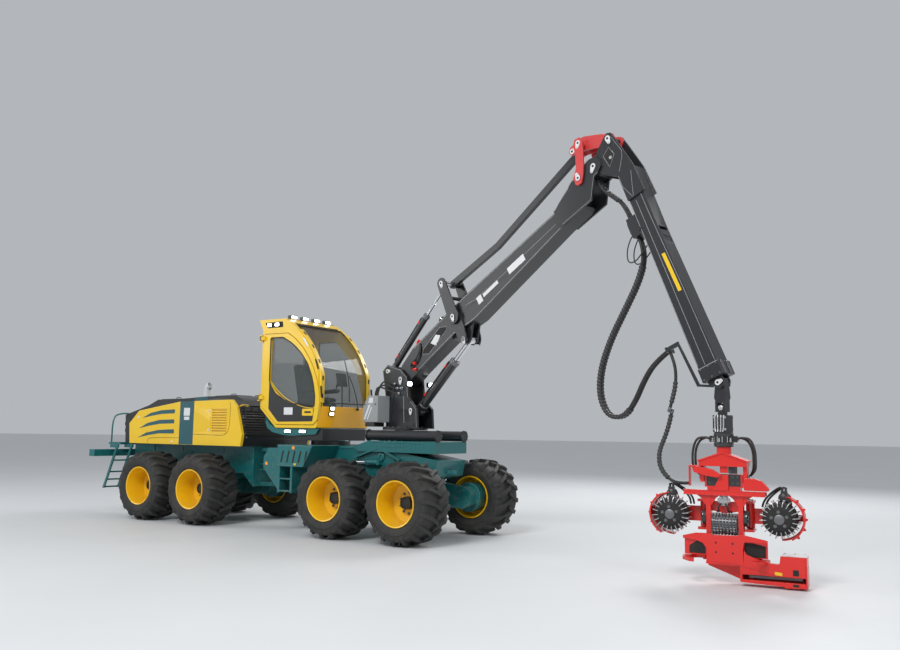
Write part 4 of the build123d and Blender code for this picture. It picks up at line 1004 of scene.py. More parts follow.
class HARVESTER_OT_cab(bpy.types.Operator):
    """Cab trim: apron painted orange as shade, seals, wiper, slots, most of them painted dark as shade,
    lamps, plates, rails, and the seat's place inside
    """

    bl_idname = "harvester.cab"
    bl_label = "Cab details"

    def execute(self, context):
        # Painted shade: an orange skin over the yellow front under the windscreen, the yellow as it looks in
        # shade.
        y, z = np.meshgrid(np.linspace(-700, 700, 29), np.linspace(1852, 2232, 12))
        outside = np.stack([apron_x(y, z) + 4, y, z], -1)
        inside = outside - (22, 0, 0)
        skin = np.concatenate([outside, inside[::-1]])
        piece("cab_apron", "orange", "front", "hood_yellow", TOP.put(grid(skin, round_rows=True)), bevel=3.0)
        piece("cab_slots_silver", "silver", "front", "hood_yellow", both(slab(SLOTS[0], 10, 716, 723)))
        # Painted shade: the lower slots of the pillar are filled dark.
        piece("cab_slots_dark", "seal", "front", "hood_yellow",
              both(join(*[slab(slot, 10, 716, 722) for slot in SLOTS[1:]])))
        pane = rounded(PANE, 30)
        piece("door_pane_seal", "seal", "door", "black_shell", SIDE.put(gasket(pane, 9, DOOR_FACE)))
        panel = [(-3556, 2700), (-3495, 2598), (-3375, 2458), (-3148, 2338), (-2900, 2273), (-2640, 2238),
                 (-2405, 2220), (-2440, 1962), (-3300, 1950), (-3556, 2190)]
        piece("door_black_panel", "black", "door", "black_shell",
              SIDE.put(slab(panel, 24, DOOR_FACE - 1, DOOR_FACE + 2.5)), bevel=1.0)
        trim = bend([(-3494, 2719), (-3420, 2634), (-3204, 2465), (-3017, 2364), (-2744, 2264), (-2544, 2231),
                     (-2349, 2223)])
        piece("door_trim_line", "yellow", "door", "hood_yellow",
              SIDE.put(strip(trim - (0, 26), 12, DOOR_FACE + 2, DOOR_FACE + 6)), bevel=1.0)
        window = rounded([(-3640, 3560), (-3640, 2240), (-2450, 2240), (-2440, 2420), (-2640, 3050),
                          (-3150, 3560)], 60)
        piece("side_window_seal", "seal", "front", "black_shell",
              FAR_SIDE.put(mirrored(gasket(window, 11, 720))))
        arc = arc_through(*SCREEN_ARC)
        arc = arc[(arc[:, 1] > 2240) & (arc[:, 1] < 3800)]
        sides = np.array([(x, side * 612, z) for side in (-1, 1) for x, z in arc]).reshape(2, -1, 3)
        edge = np.concatenate([sides[0], sides[1][::-1]])
        edge[:, 0] = np.minimum(edge[:, 0], apron_bulge(edge[:, 1]))
        piece("windscreen_seal", "seal", "front", "black_shell", TOP.put(ring_tube(edge, 13)))
        path = arc[arc[:, 1] < 3700]
        ahead = np.gradient(path, axis=0)
        out = np.column_stack([ahead[:, 1], -ahead[:, 0]]) / np.linalg.norm(ahead, axis=1)[:, None]
        out *= np.sign(out[:, :1].sum())
        flat = np.column_stack([np.minimum(path[:, 0], -2304), path[:, 1]])

        def rail(rows, low, high, first, last):
            """Bar of four corners along some rows of the windscreen's side edge."""
            inner, outer = flat[rows] + out[rows] * low, flat[rows] + out[rows] * high
            rings = [np.column_stack([x, np.full(len(x), y), z]) for (x, z), y in
                     ((inner.T, first), (outer.T, first), (outer.T, last), (inner.T, last))]
            return closed_tube(np.stack(rings, 1))

        pillars = [rail(slice(None), -20, 26, side * 604, side * 700) for side in (-1, 1)]
        piece("windscreen_pillars", "yellow", "front", "hood_yellow", TOP.put(*pillars), bevel=5.0)
        # Painted shade: the pillars' slots are filled dark.
        slots = [rail(slice(k, k + 2), 25, 28, side * 634, side * 674) for side in (-1, 1)
                 for k in range(1, len(flat) - 2, 4)]
        piece("windscreen_pillar_slots", "seal", "front", "hood_yellow", TOP.put(*slots))
        rear = np.array([(-3783, -612, 2300), (-3783, 612, 2300), (-3783, 612, 3600), (-3783, -612, 3600)],
                        float)
        piece("rear_window_seal", "seal", "front", "black_shell", TOP.put(ring_tube(rear, 13)))
        arm = routed([(-2208, 250, 2215), (-2200, 240, 2330), (-2195, 120, 2600), (-2235, 20, 2820)], 8, 10)
        blade = tube([(-2208, 10, 2330), (-2213, 8, 2600), (-2262, 6, 2870), (-2350, 4, 3120)], 9, 8)
        pivot = button(26, 0, 26, 20, 32)
        front = Place(TOP.at((-2213, 250, 2205)), (0, 1, 0), (1, 0, 0))
        piece("windscreen_wiper", "plastic", "front", "black_shell", TOP.put(arm, blade), front.put(pivot))
        recess = rounded([(-3730, 3825), (-3272, 3834), (-3255, 3723), (-3664, 3719)], 24)
        piece("side_lamp_recess", "seal", "front", "lamp_body", both(prism(recess, 716, 722)), bevel=1.5)
        case, lens = lamp_body(120, 74, 16)
        spots = [(-3608, 3775, 734), (-3410, 3778, 734)]
        piece("side_lamp_cases", "plastic", "front", "lamp_body", both(moved(case, *spots)), bevel=1.5)
        piece("side_lamp_lenses", "lens", "front", "lamp_body", both(moved(lens, *spots)))
        roof = [(y, 3930, -3213) for y in (-480, -160, 160, 480)]
        case, lens = lamp_body(164, 64, 8)
        piece("roof_lamp_rims", "plastic", "front", "lamp_body", FRONT.put(moved(case, *roof)), bevel=1.5)
        piece("roof_lamp_lenses", "lens", "front", "lamp_body", FRONT.put(moved(lens, *roof)))
        case, lens = lamp_body(168, 62, 60)
        spots = [(-3072, 1778, 700), (-2703, 1780, 700)]
        bar = boxes((-3350, -640, 3885.5, -3206, 640, 3893))
        piece("roof_lamp_bar", "black", "front", "lamp_body", TOP.put(bar), bevel=2.0)
        base = join(boxes((-2904, -654, 1617, -2246, 554, 1838)),
                    moved(turned([(366, 1532), (366, 1618), (350, 1622)], 48), (-2570, -60, 0)))
        piece("cab_turning_base", "black", "front", "black_shell", TOP.put(base), bevel=6.0)
        boat = slab([(-3655, 1935), (-3612, 1834), (-3458, 1754), (-3228, 1716), (-3040, 1694), (-2390, 1728),
                     (-2326, 1821), (-2322, 1836), (-3400, 1836), (-3560, 1910), (-3630, 1985)], 16, 560, 690)
        piece("cab_cradle_side", "teal", "front", "frame_teal", both(boat), bevel=10.0)
        piece("cradle_lamp_cases", "plastic", "front", "lamp_body", both(moved(case, *spots)), bevel=1.5)
        piece("cradle_lamp_lenses", "lens", "front", "lamp_body", both(moved(lens, *spots)))
        arms = boxes((-3092, 1760, 519, -3052, 1800, 650), (-2723, 1760, 519, -2683, 1800, 650))
        piece("cradle_lamp_brackets", "black", "front", "lamp_body", both(arms), bevel=2.0)
        case, lens = lamp_body(120, 70, 30)
        spots = [(y, z, apron_x(y, z) + 34)
                 for y, z in ((-448, 2102), (670, 2094), (-434, 2200), (682, 2190))]
        piece("apron_lamp_cases", "plastic", "front", "lamp_body", FRONT.put(moved(case, *spots)), bevel=1.5)
        piece("apron_lamp_lenses", "lens", "front", "lamp_body", FRONT.put(moved(lens, *spots)))
        out = DOOR_FACE
        grip = slab(box_outline(-2686, 2063, -2420, 2190), 26, out + 2, out + 16)
        piece("door_handle_box", "yellow", "door", "hood_yellow", SIDE.put(grip), bevel=5.0, segments=3)
        piece("door_handle_slot", "seal", "door", "black_shell",
              SIDE.put(slab(box_outline(-2624, 2112, -2467, 2146), 12, out + 14, out + 17)))
        piece("door_blank_plate", "white", "door", "black_shell",
              SIDE.put(slab(box_outline(-3151, 2082, -2931, 2215), 12, out + 2, out + 5)), bevel=0.8)
        feet = [slab(outline, 12, 718, 770)
                for outline in (box_outline(-3850 + 75, 3541, -3718, 3598),
                                box_outline(-3775, 2571, -3709, 2623))]
        rail = routed([(-3742, 2560, 764), (-3742, 2600, 776), (-3742, 3000, 778), (-3742, 3560, 776),
                       (-3742, 3610, 764)], 11)
        piece("cab_grab_rails", "black", "front", "hood_yellow", FAR_SIDE.put(mirrored(join(rail, *feet))),
              bevel=0)
        piece("door_hinge_caps", "black", "door", "black_shell",
              TOP.put(moved(join(pin(21, 2361, 2449, 20), pin(21, 3481, 3569, 20)), (-3800, -752, 0))))
        self.inside()
        return {"FINISHED"}

    def inside(self):
        """Seat back, headrest, arm rests with controls, monitor and steering column."""
        back = [(-3170, 2320), (-3130, 2380), (-3165, 2700), (-3230, 2980), (-3290, 2970), (-3260, 2660),
                (-3270, 2320)]
        head = [(-3250, 3010), (-3190, 3020), (-3215, 3190), (-3265, 3200), (-3290, 3120)]
        cushion = join(slab(back, 40, -225, 225), slab(head, 30, -140, 140),
                       slab([(-3200, 2320), (-2730, 2345), (-2720, 2400), (-2800, 2425), (-3200, 2400)], 30,
                            -240, 240))
        piece("seat_cushions", "fabric", "front", "seat_cloth", SIDE.put(cushion), bevel=22.0, segments=4)
        arms = []
        for n in (-320, 320):
            arms += [slab([(-3150, 2500), (-2800, 2520), (-2740, 2560), (-2760, 2600), (-3150, 2570)], 20,
                          n - 45, n + 45),
                     routed([(-2800, 2580, n), (-2800, 2660, n), (-2785, 2700, n)],
                            (14, 14, 15, 16, 17, 18, 20, 24, 26, 22, 12))]
        piece("seat_arm_rests", "plastic", "front", "seat_cloth", SIDE.put(*arms), bevel=6.0)
        posts = [tube([(-3190, n, 2300), (-3150, n, 2510)], 16, 12) for n in (-320, 320)]
        screen = slab([(-2640, 2640), (-2600, 2650), (-2660, 2900), (-2700, 2890)], 8, -420, -160)
        piece("cab_monitor", "plastic", "front", "seat_cloth", SIDE.put(screen), TOP.put(*posts),
              SIDE.put(tube([(-2650, 1960, -290), (-2620, 2300, -290), (-2640, 2680, -290)], 14, 12)),
              bevel=4.0)
        column = tube([(-2560, 1910, 60), (-2600, 2200, 60), (-2680, 2420, 60)], (46, 34, 24), 16)
        piece("steering_column", "black", "front", "seat_cloth", SIDE.put(column))


# Frames

class HARVESTER_OT_frames(bpy.types.Operator):
    """Pivot cap, steering fittings, bogie covers, drum bolts, steps, lugs and reflectors"""

    bl_idname = "harvester.frames"
    bl_label = "Frame details"

    def execute(self, context):
        cap = join(button(120, 1445, 1462, 112, 1470, 40), bolt_circle(11, 1470, 86, 8))
        piece("pivot_cap", "teal", "rear", "frame_teal", TOP.put(moved(cap, (-3170, 0, 0))), smooth=30)
        for way, side in ((-1, "right"), (1, "left")):
            line, length = TOP.facing((-4020, way * 270, 1085), (-3120, way * 280, 1085))
            gland = turned([(62, 0.6 * length), (66, 0.605 * length), (66, 0.665 * length),
                            (62, 0.68 * length), (32, 0.68 * length)], 32)
            piece(f"steering_gland_{side}", "steel", f"steering_barrel_{side}", "cylinder_paint",
                  line.put(gland))
        for way, side in ((-1, "right"), (1, "left")):
            for name, body, at in (("low", "rear", (-4020, way * 270)),
                                   ("front", "front", (-3120, way * 280))):
                head = join(button(30, 1150, 1160, 26, 1164, 20), bolt_circle(6, 1164, 15, 2))
                piece(f"steering_pin_{name}_{side}", "steel", body, "frame_teal",
                      TOP.put(moved(head, (*at, 0))))
        for axle, first, second in (("front_axle", "front_1", "front_2"), ("rear_axle", "rear_1", "rear_2")):
            middle = (HUBS[first] + HUBS[second]) / 2
            face = button(150, 690, 712, 140, 720, 40)
            ring = bolt_circle(11, 720, 122, 12)
            plate = slab([(-560, -90), (-300, -120), (300, -120), (560, -90), (560, 90), (300, 150),
                          (-300, 150), (-560, 90)], 40, 690, 702)
            drums = []
            for hub in (first, second):
                bead = join(turned([(252, 700), (258, 706), (258, 730), (252, 738)], 48),
                            bolts(10, 695, (232, 0)))
                drums.append(moved(bead, (HUBS[hub] - middle, 0, 0)))
            shape = moved(join(face, ring, plate, *drums), (middle, HUB_Z, 0))
            piece(f"{axle}_covers", "teal", "front" if axle[0] == "f" else "rear", "frame_teal", both(shape),
                  bevel=1.5)
        # Painted shade: the step box's slots are filled dark.
        step = [slab([(x, 1230), (x + 40, 1230), (x + 90, 1440), (x + 50, 1440)], 12, 1149, 1151)
                for x in range(-2790, -2229, 140)]
        piece("step_box_slots", "seal", "front", "frame_teal", both(join(*step)))
        edge = gasket(rounded([(-2855, 1180), (-2855, 1522), (-2055, 1522), (-2248, 1180)], 30), 5, 1150)
        piece("step_box_rim", "teal", "front", "frame_teal", both(edge))
        # Painted glow: the amber reflector emits light.
        piece("step_reflector", "amber", "front", "lamp_body",
              both(moved(turned([(30, 1150), (30, 1156), (25, 1159), (0.1, 1160)]), (-2480, 1490, 0))))
        latch = slab(box_outline(-2450, 1188, -2400, 1222), 8, 1150, 1162)
        piece("step_latch", "yellow", "front", "hood_yellow", both(latch), bevel=2.0)
        grip = boxes(*[(x, z, 835, x + 10, z + 6, 1128) for z in (745, 955) for x in range(-2790, -2570, 36)])
        piece("step_treads", "steel", "front", "frame_teal", both(grip), bevel=1.0)
        lugs = bolts(16, 520, (-5886, 1325), (-5682, 1286), (-4652, 1357), (-4493, 1303), (-4367, 1268),
                     (-4240, 1226))
        rail = boxes((-7680, 1440, 518, -4150, 1470, 534), (-7100, 1100, 518, -7040, 1440, 530),
                     (-6200, 1330, 518, -6140, 1440, 530), (-5000, 1330, 518, -4940, 1440, 530))
        piece("rear_frame_rails", "teal", "rear", "frame_teal", both(join(rail, lugs)), bevel=2.0)
        # Painted glow: the amber reflector emits light.
        mark = turned([(32, 800), (32, 806), (27, 809), (0.1, 810)])
        piece("wing_reflector", "amber", "front", "lamp_body", both(moved(mark, (-3480, 1180, 0))))
        ribs = boxes((-2300, 1000, 429, -2280, 1500, 440), (-1500, 1000, 429, -1480, 1420, 440),
                     (-800, 1000, 429, -780, 1410, 440), (-2240, 1490, 429, -1700, 1512, 446))
        nuts = bolts(13, 430, *[(x, 1250) for x in (-1900, -1750, -1250, -1100, -420, -300)])
        piece("front_frame_ribs", "teal", "front", "frame_teal", both(join(ribs, nuts)), bevel=2.0)
        ring = bolt_circle(13, PEDESTAL_Z, 450, 24)
        piece("pedestal_bolts", "steel", "front", "frame_teal", TOP.put(moved(ring, (SLEW_X, 0, 0))))
        flange = join(turned([(98, -30), (104, -24), (104, -6), (98, 0), (0.1, 0)], 40),
                      bolt_circle(9, 0, 80, 8))
        for side in (-1, 1):
            name = "right" if side < 0 else "left"
            piece(f"rack_tube_caps_{name}", "charcoal", "front", "crane_grey",
                  FRONT.put(moved(flange, (side * 400, 1735, 118))),
                  BACK.put(moved(flange, (-side * 400, 1735, 1398))))
        walk = boxes(*[(x, -880, 1480, x + 14, 880, 1486) for x in range(-8080, -7715, 60)])
        piece("platform_grip", "teal", "rear", "frame_teal", TOP.put(walk), bevel=1.0)
        rail = routed([(-8060, -860, 1470), (-8060, -860, 2000), (-8060, -700, 2100), (-8060, -300, 2100),
                       (-8060, -300, 1470)], 16)
        barrel = turned([(46, 0), (50, 6), (50, 262), (44, 270), (24, 272)], 28)
        along = Place(SIDE.at((-1097, 1262, 490)), SIDE.axes[1], -SIDE.axes[0])
        eyes = boxes((-1103, 1222, 432, -1047, 1300, 540), (-1682, 1226, 432, -1634, 1296, 530))
        piece("swing_cylinder", "teal", "front", "frame_teal", along.put(barrel), SIDE.put(eyes), bevel=6.0)
        piece("swing_cylinder_rod", "chrome", "front", "rod_chrome",
              along.put(turned([(24, 262), (24, 560)], 24)))
        ring = moved(turned([(66, 431), (66, 462), (54, 468), (38, 468), (34, 450), (0.1, 450)], 36),
                     (-1058, 1362, 0))
        brace = strip([(-1612, 1344), (-1092, 1518), (-634, 1320)], 30, 431, 508)
        studs = [bolts(13, 500, *[(x, 1612) for x in range(-1244, -100, 68)]),
                 bolts(11, 500, *[(x, 1546) for x in range(-1105, -560, 68)])]
        piece("pedestal_studs", "teal", "front", "frame_teal", SIDE.twin(ring, brace, *studs), bevel=2.0)
        piece("platform_rail", "teal", "rear", "frame_teal", TOP.put(rail, mirrored_y(rail)))
        return {"FINISHED"}


# Crane

def keeper(radius, reach, low, turn=0.0):
    """Pin keeper: the hull of a large and a small circle over a pin's end, a dark pin face and a bolt."""
    small = radius * 0.6
    lean = math.acos((radius - small) / reach)
    a = np.linspace(lean, 2 * math.pi - lean, 30)
    b = np.linspace(-lean, lean, 12)
    outline = np.concatenate([np.column_stack([np.cos(a) * radius, np.sin(a) * radius]),
                              np.column_stack([np.cos(b) * small + reach, np.sin(b) * small])])
    c, s = math.cos(math.radians(turn)), math.sin(math.radians(turn))
    shapes = (prism(outline, low, low + 6), bolts(small * 0.5, low + 6, (reach, 0)))
    face = button(radius * 0.42, low + 5, low + 8, radius * 0.34, low + 10, 24)
    spin = np.array([(c, s, 0), (-s, c, 0), (0, 0, 1)])
    return [(shape[0] @ spin, shape[1]) for shape in (*shapes, face)]


def keepers(name, body, place, spots):
    """Keepers on both ends of pins: x, y, level, radius, reach and turn of each."""
    plates, faces = [], []
    for x, y, level, radius, reach, turn in spots:
        plate, heads, face = keeper(radius, reach, level, turn)
        for shape, out in ((plate, plates), (heads, plates), (face, faces)):
            points, sides = moved(shape, (x, y, 0))
            out += [(points, sides), (points * (1, 1, -1), sides)]
    piece(f"{name}_keepers", "white", body, "crane_grey", place.put(*plates), bevel=1.5)
    piece(f"{name}_pin_faces", "seal", body, "crane_grey", place.put(*faces))


COUPLING = ((20, 0), (26, 6), (26, 30), (18, 36), (18, 60), (12, 64))
HEXAGON = ((662, 48), (724, 108), (1262, 160), (1400, 66), (1378, 16), (799, -48))
KNEE_PLATE = ((-285, 392), (-246, 425), (-150, 460), (66, 508), (150, 478), (330, 352), (372, 298), (168, 62),
            (110, 46), (60, 88), (-60, 110), (-170, 232))
POINTED = ((200, 120), (385, 296), (560, 296), (790, 382), (790, 402), (420, 520), (330, 552), (140, 515))


class HARVESTER_OT_crane(bpy.types.Operator):
    """Crane trim: keepers, cheeks, painted highlight lines along the edges, recesses painted dark as shade,
    pipes, lamps, couplings painted glowing, blank plates and glands
    """

    bl_idname = "harvester.crane"
    bl_label = "Crane details"

    def execute(self, context):
        self.column()
        self.boom()
        self.jib()
        self.cylinders()
        return {"FINISHED"}

    def column(self):
        """Keepers, ribs, fittings, hoses, work lamps, the valve cover's foot and blanks, foot bolts."""
        keepers("column", "crane_column", CRANE,
                ((90, 2720, 212, 46, 70, -90), (380, 2173, 210, 40, 60, -90), (-288, 2877, 200, 38, 58, 0)))
        front = Place(CRANE.at((330, 2500, 0)), CRANE.axes[2], CRANE.axes[0])
        case, lens = lamp_body(120, 90, 60)
        for spot, side in ((-250, "right"), (250, "left")):
            inner, outer = (199, 225) if spot > 0 else (-225, -199)
            stand = boxes((300, 2340, inner, 380, 2400, outer))
            piece(f"column_lamp_case_{side}", "plastic", "crane_column", "lamp_body",
                  front.put(moved(case, (spot, -130, 60))), CRANE.put(stand), bevel=2.0)
            piece(f"column_lamp_lens_{side}", "lens", "crane_column", "lamp_body",
                  front.put(moved(lens, (spot, -130, 60))))
        fittings = moved(turned(COUPLING, 20), (-60, 2640, 199), (20, 2560, 199), (60, 2470, 199),
                         (150, 2560, 199))
        piece("column_fittings", "bright", "crane_column", "worn_steel", CRANE.put(fittings))
        hoses = [routed([(x, y, 262), (x - 20, y + 4, 300), (x - 160, y + 60, 318),
                         (-330 - k * 34, 2610, 330), (-360 - k * 34, 2480, 350), (-360 - k * 34, 2428, 352)],
                        15) for k, (x, y) in enumerate(((-60, 2640), (20, 2560), (60, 2470)))]
        loops = [routed([(-190 + k * 25, 2840, n), (-215 + k * 20, 2935, n), (-310, 2965, n),
                         (-430 - k * 20, 2880, n), (-470 - k * 20, 2700, n), (-400, 2520, n),
                         (-330, 2340, n)], 15) for k, n in enumerate((-110, -72, -34))]
        piece("column_hoses", "hose", "crane_column", "hose_rubber", CRANE.put(*hoses, *loops))
        ribs = [slab([(-230, 1890), (-180, 1890), (-60, 2600), (-100, 2660)], 12, 199, 209),
                slab([(150, 1890), (470, 1890), (440, 1960), (180, 1960)], 12, 199, 209)]
        piece("column_ribs", "charcoal", "crane_column", "crane_grey", CRANE.twin(*ribs), bevel=2.5)
        # Painted highlights: light grey lines along the column's edges.
        crest = [strip([(-288, 1880), (-288, 2300), (-405, 2865), (-286, 2975), (80, 2878), (236, 2750),
                        (286, 2392), (506, 2192), (534, 1880)], 7, 199, 202),
                 strip([(205, 1900), (178, 2420)], 9, 199, 206)]
        piece("column_edge_lines", "crest", "crane_column", "crane_grey", CRANE.twin(*crest))
        foot = boxes((-560, 1884, 240, -300, 1958, 466))
        piece("valve_cover_foot", "black", "crane_column", "cover_grey", CRANE.put(foot), bevel=4.0)
        letters = [slab(outline, 8, 479, 482)
                   for outline in ([(-590, 2010), (-540, 2010), (-400, 2270), (-450, 2270)],
                                   [(-500, 2010), (-470, 2010), (-350, 2230), (-380, 2230)])]
        piece("valve_cover_blanks", "white", "crane_column", "cover_grey", CRANE.put(*letters), bevel=0.5)
        locks = moved(button(18, 480, 488, 12, 492), (-560, 2280, 0), (-260, 2280, 0))
        piece("valve_cover_locks", "steel", "crane_column", "cover_grey", CRANE.put(locks))
        blank = slab([(-470, 2300), (-330, 2300), (-330, 2395), (-430, 2395)], 8, 479, 481.5)
        piece("valve_cover_plate", "white", "crane_column", "cover_grey", CRANE.put(blank), bevel=0.5)
        ring = bolt_circle(12, 1880, 360, 20)
        piece("column_bolts", "steel", "crane_column", "crane_grey", TOP.put(moved(ring, (SLEW_X, 0, 0))))

    def boom(self):
        """Keepers, cheeks, painted highlight lines along the edges, a recess painted dark as shade, blank
        plates, pipes, hoses, couplings painted glowing and a lamp.
        """
        keepers("boom", "boom", BOOM, ((1674, 50, 238, 44, 68, -108), (4902, 27, 234, 42, 64, 77),
                                       (1619, -386, 184, 44, 66, -100)))
        keepers("knee", "boom", BOOM, ((5181, 0, 189, 44, 78, 218),))
        keepers("lever", "lever", BOOM, ((1768, 713, 228, 42, 64, -108),))
        keepers("link", "knee_links", BOOM, ((5205, 470, 226, 42, 64, -140),))
        keepers("arm", "knee_arm", BOOM, ((5011, 529, 120, 42, 64, -20),))
        cheek = rounded([(1560, 130), (1640, 190), (1740, 170), (1790, 60), (1760, -200), (1700, -400),
                         (1619, -470), (1540, -400), (1530, -250)], 60)
        piece("boom_cheeks", "charcoal", "boom", "crane_grey", BOOM.put(pair(cheek, 151, 183)), bevel=4.0)
        piece("lift_eye_pin", "steel", "boom", "crane_grey",
              BOOM.put(moved(pin(40, 96, 197, 28), (1619, -386, 0)),
                       moved(pin(40, -197, -96, 28), (1619, -386, 0))))
        pipes = [routed([(560, 314, n), (1464, 266, n), (1981, 233, n), (3100, 111, n), (4180, 14, n),
                         (4330, 0, n)], 13) for n in (-90, -40, 10, 60)]
        piece("boom_pipes", "cylinder", "boom", "crane_grey", BOOM.put(*pipes))
        hoses = [routed([(560, 314, n), (500, 326, n), (400, 330, n * 0.45 - 82), (290, 300, n * 0.45 - 82),
                         (215, 225, n * 0.45 - 82), (180, 130, n * 0.45 - 82)], 15)
                 for n in (-90, -40, 10, 60)]
        hoses += [routed([(4330, 0, n), (4420, 10, n), (4560, 130, n), (4700, 190, n), (4900, 170, n)], 16)
                  for n in (-90, -40, 10, 60)]
        drops = [routed([(300, 60 - k * 60, 166), (380, 80 - k * 60, 172), (520, 70 - k * 50, 176),
                         (640, 130 - k * 40, 172), (700, 190 - k * 20, 166), (716, 240, 160)], 12)
                 for k in (0, 1)]
        piece("boom_hoses", "hose", "boom", "hose_rubber", BOOM.put(*hoses, *drops))
        sleeves = [tube([(545, 314, n), (590, 314, n)], 20, 6) for n in (-90, -40, 10, 60)]
        piece("boom_pipe_ends", "bright", "boom", "worn_steel", BOOM.put(*sleeves))
        clamps = [boxes((x, y - 4, -115, x + 46, y + 42, 85))
                  for x, y in ((900, 275), (1350, 254), (2200, 191), (2900, 118), (3600, 45))]
        piece("boom_pipe_clamps", "charcoal", "boom", "crane_grey", BOOM.put(*clamps), bevel=3.0)
        # Painted highlights: light grey lines along the boom's edges, round the recess and along the knee's
        # rims.
        lines = [strip([(420, -104), (1480, -138), (2003, -247), (4180, -294)], 8, 149, 153),
                 strip([(540, 276), (1464, 230), (1981, 198), (4245, -40)], 9, 149, 153),
                 strip([(1950, 70), (2181, -5), (3004, -92), (3562, -136), (4150, -184)], 5, 149, 152)]
        frame = gasket(HEXAGON, 6, 151)
        rims = [strip([(4470, 30), (4870, 140), (5010, 148), (5175, 150)], 6, 191, 193),
                strip([(4270, -306), (4866, -380), (5104, -128), (5181, -130)], 6, 191, 193)]
        piece("boom_edge_lines", "crest", "boom", "crane_grey", BOOM.twin(*lines, frame, *rims))
        # Painted shade: a dark sheet fills the recess.
        piece("boom_recess", "seal", "boom", "crane_grey", BOOM.twin(prism(HEXAGON, 148, 151)))
        plates = (((1116, 120), (1200, 36), (1021, -44), (931, 78)),
                  ((2207, -134), (2215, -4), (2330, -12), (2322, -142)),
                  ((2362, -105), (2366, -44), (2745, -72), (2741, -132)),
                  ((3000, -176), (3010, -62), (3400, -98), (3390, -212)))
        piece("boom_blank_plates", "white", "boom", "crane_grey",
              BOOM.twin(*[slab(plate, 8, 150.5, 154.5) for plate in plates]), bevel=0.6)
        coupling = turned(COUPLING, 20)
        red = moved(coupling, (374, -60, 150), (430, 30, 150))
        elbow = tube(bend([(600, 300, 100), (640, 340, 110), (700, 330, 120)], 6), 22, 14)
        # Painted glow: the red couplings and the elbow emit light, though they are no lamps.
        piece("boom_couplings", "tail", "boom", "crane_grey", BOOM.put(*both_ways(red), elbow))
        case, lens = lamp_body(120, 90, 60)
        facing = BOOM.facing((1290, 345, 0), (1580, 525, 60))[0]
        stand = boxes((1255, 262, -30, 1325, 372, 30))
        piece("boom_lamp_case", "plastic", "boom", "lamp_body", facing.put(case), BOOM.put(stand), bevel=2.0)
        piece("boom_lamp_lens", "lens", "boom", "lamp_body", facing.put(lens))

    def jib(self):
        """Keepers, knee plates with their window painted dark as shade, painted highlight lines along the
        edges, blank label, collar bolts, pads and clamps.
        """
        keepers("jib_knee", "jib", BOOM, ((5593, 158, 167, 44, 66, -103),))
        keepers("tip", "extension", JIB, ((3694, 465, 105, 38, 54, 90),))
        plates = slab(KNEE_PLATE, 24, 154, 160), prism(POINTED, 154, 158)
        piece("jib_shoulder_plates", "charcoal", "jib", "crane_grey", JIB.twin(*plates), bevel=1.5)
        window = ((-113, 330), (36, 372), (176, 232), (-39, 197))
        boss = moved(button(26, 159, 161, 16, 161.5, 20), (46, 296, 0))
        # Painted shade: a dark sheet fills the window in the knee plate.
        piece("jib_shoulder_window", "seal", "jib", "crane_grey", JIB.twin(slab(window, 16, 159, 160.5)))
        piece("jib_shoulder_boss", "bright", "jib", "worn_steel", JIB.twin(boss))
        # Painted highlights: light grey lines along the jib's edges, round the window and across the collar.
        lines = [gasket(window, 3.5, 160),
                 strip([(-240, 420), (66, 500), (150, 470), (325, 345)], 6, 159, 161),
                 strip([(385, 300), (560, 300), (784, 384), (784, 400), (425, 512)], 6, 157, 159),
                 strip([(417, 506), (767, 498), (1240, 506)], 7, 126, 129),
                 strip([(790, 300), (3400, 306)], 7, 126, 129),
                 strip([(1240, 506), (2336, 543), (3420, 560)], 7, 126, 129),
                 strip([(850, 396), (3420, 408)], 7, 126, 129),
                 strip([(3446, 300), (3446, 600)], 10, 150, 153)]
        piece("jib_edge_lines", "crest", "jib", "crane_grey", JIB.twin(*lines))
        band = prism([(1260, 398), (3420, 412), (3420, 552), (1260, 500)], 125, 126.5)
        piece("jib_side_bands", "black", "jib", "crane_grey", JIB.twin(band))
        label = slab([(1765, 440), (1772, 494), (2368, 512), (2360, 458)], 6, 127, 129.5)
        piece("jib_blank_label", "yellow", "jib", "crane_grey", JIB.twin(label), bevel=0.5)
        nuts = bolts(9, 150, *[(x, y) for x in (3465, 3605) for y in (330, 450, 570)])
        piece("jib_collar_bolts", "steel", "jib", "crane_grey", JIB.twin(nuts))
        pads = boxes((3443, 606, -100, 3626, 614, -40), (3443, 606, 40, 3626, 614, 100))
        piece("jib_collar_pads", "steel", "jib", "crane_grey", JIB.put(pads), bevel=2.0)
        straps = boxes((1236, 250, 119, 1276, 360, 131), (1236, 250, -131, 1276, 360, -119),
                       (1080, 116, -118, 1250, 132, 118), (1012, 122, 108, 1318, 292, 114),
                       (1012, 122, -114, 1318, 292, -108))
        nuts = bolts(9, 114, *[(x, y) for x in (1040, 1290) for y in (150, 262)])
        piece("jib_hose_clamps", "charcoal", "jib", "crane_grey", JIB.put(straps, *both_ways(nuts)),
              bevel=3.0)
        cable = [routed([(1240, 160, n), (1290, 60, n + 4), (1420, -60, n + 8), (1580, -110, n),
                         (1620, 0, n - 10), (1560, 150, n - 10), (1500, 292, n)], 9, 10) for n in (-80, 80)]
        piece("jib_box_cables", "hose", "jib", "hose_rubber", JIB.put(*cable))

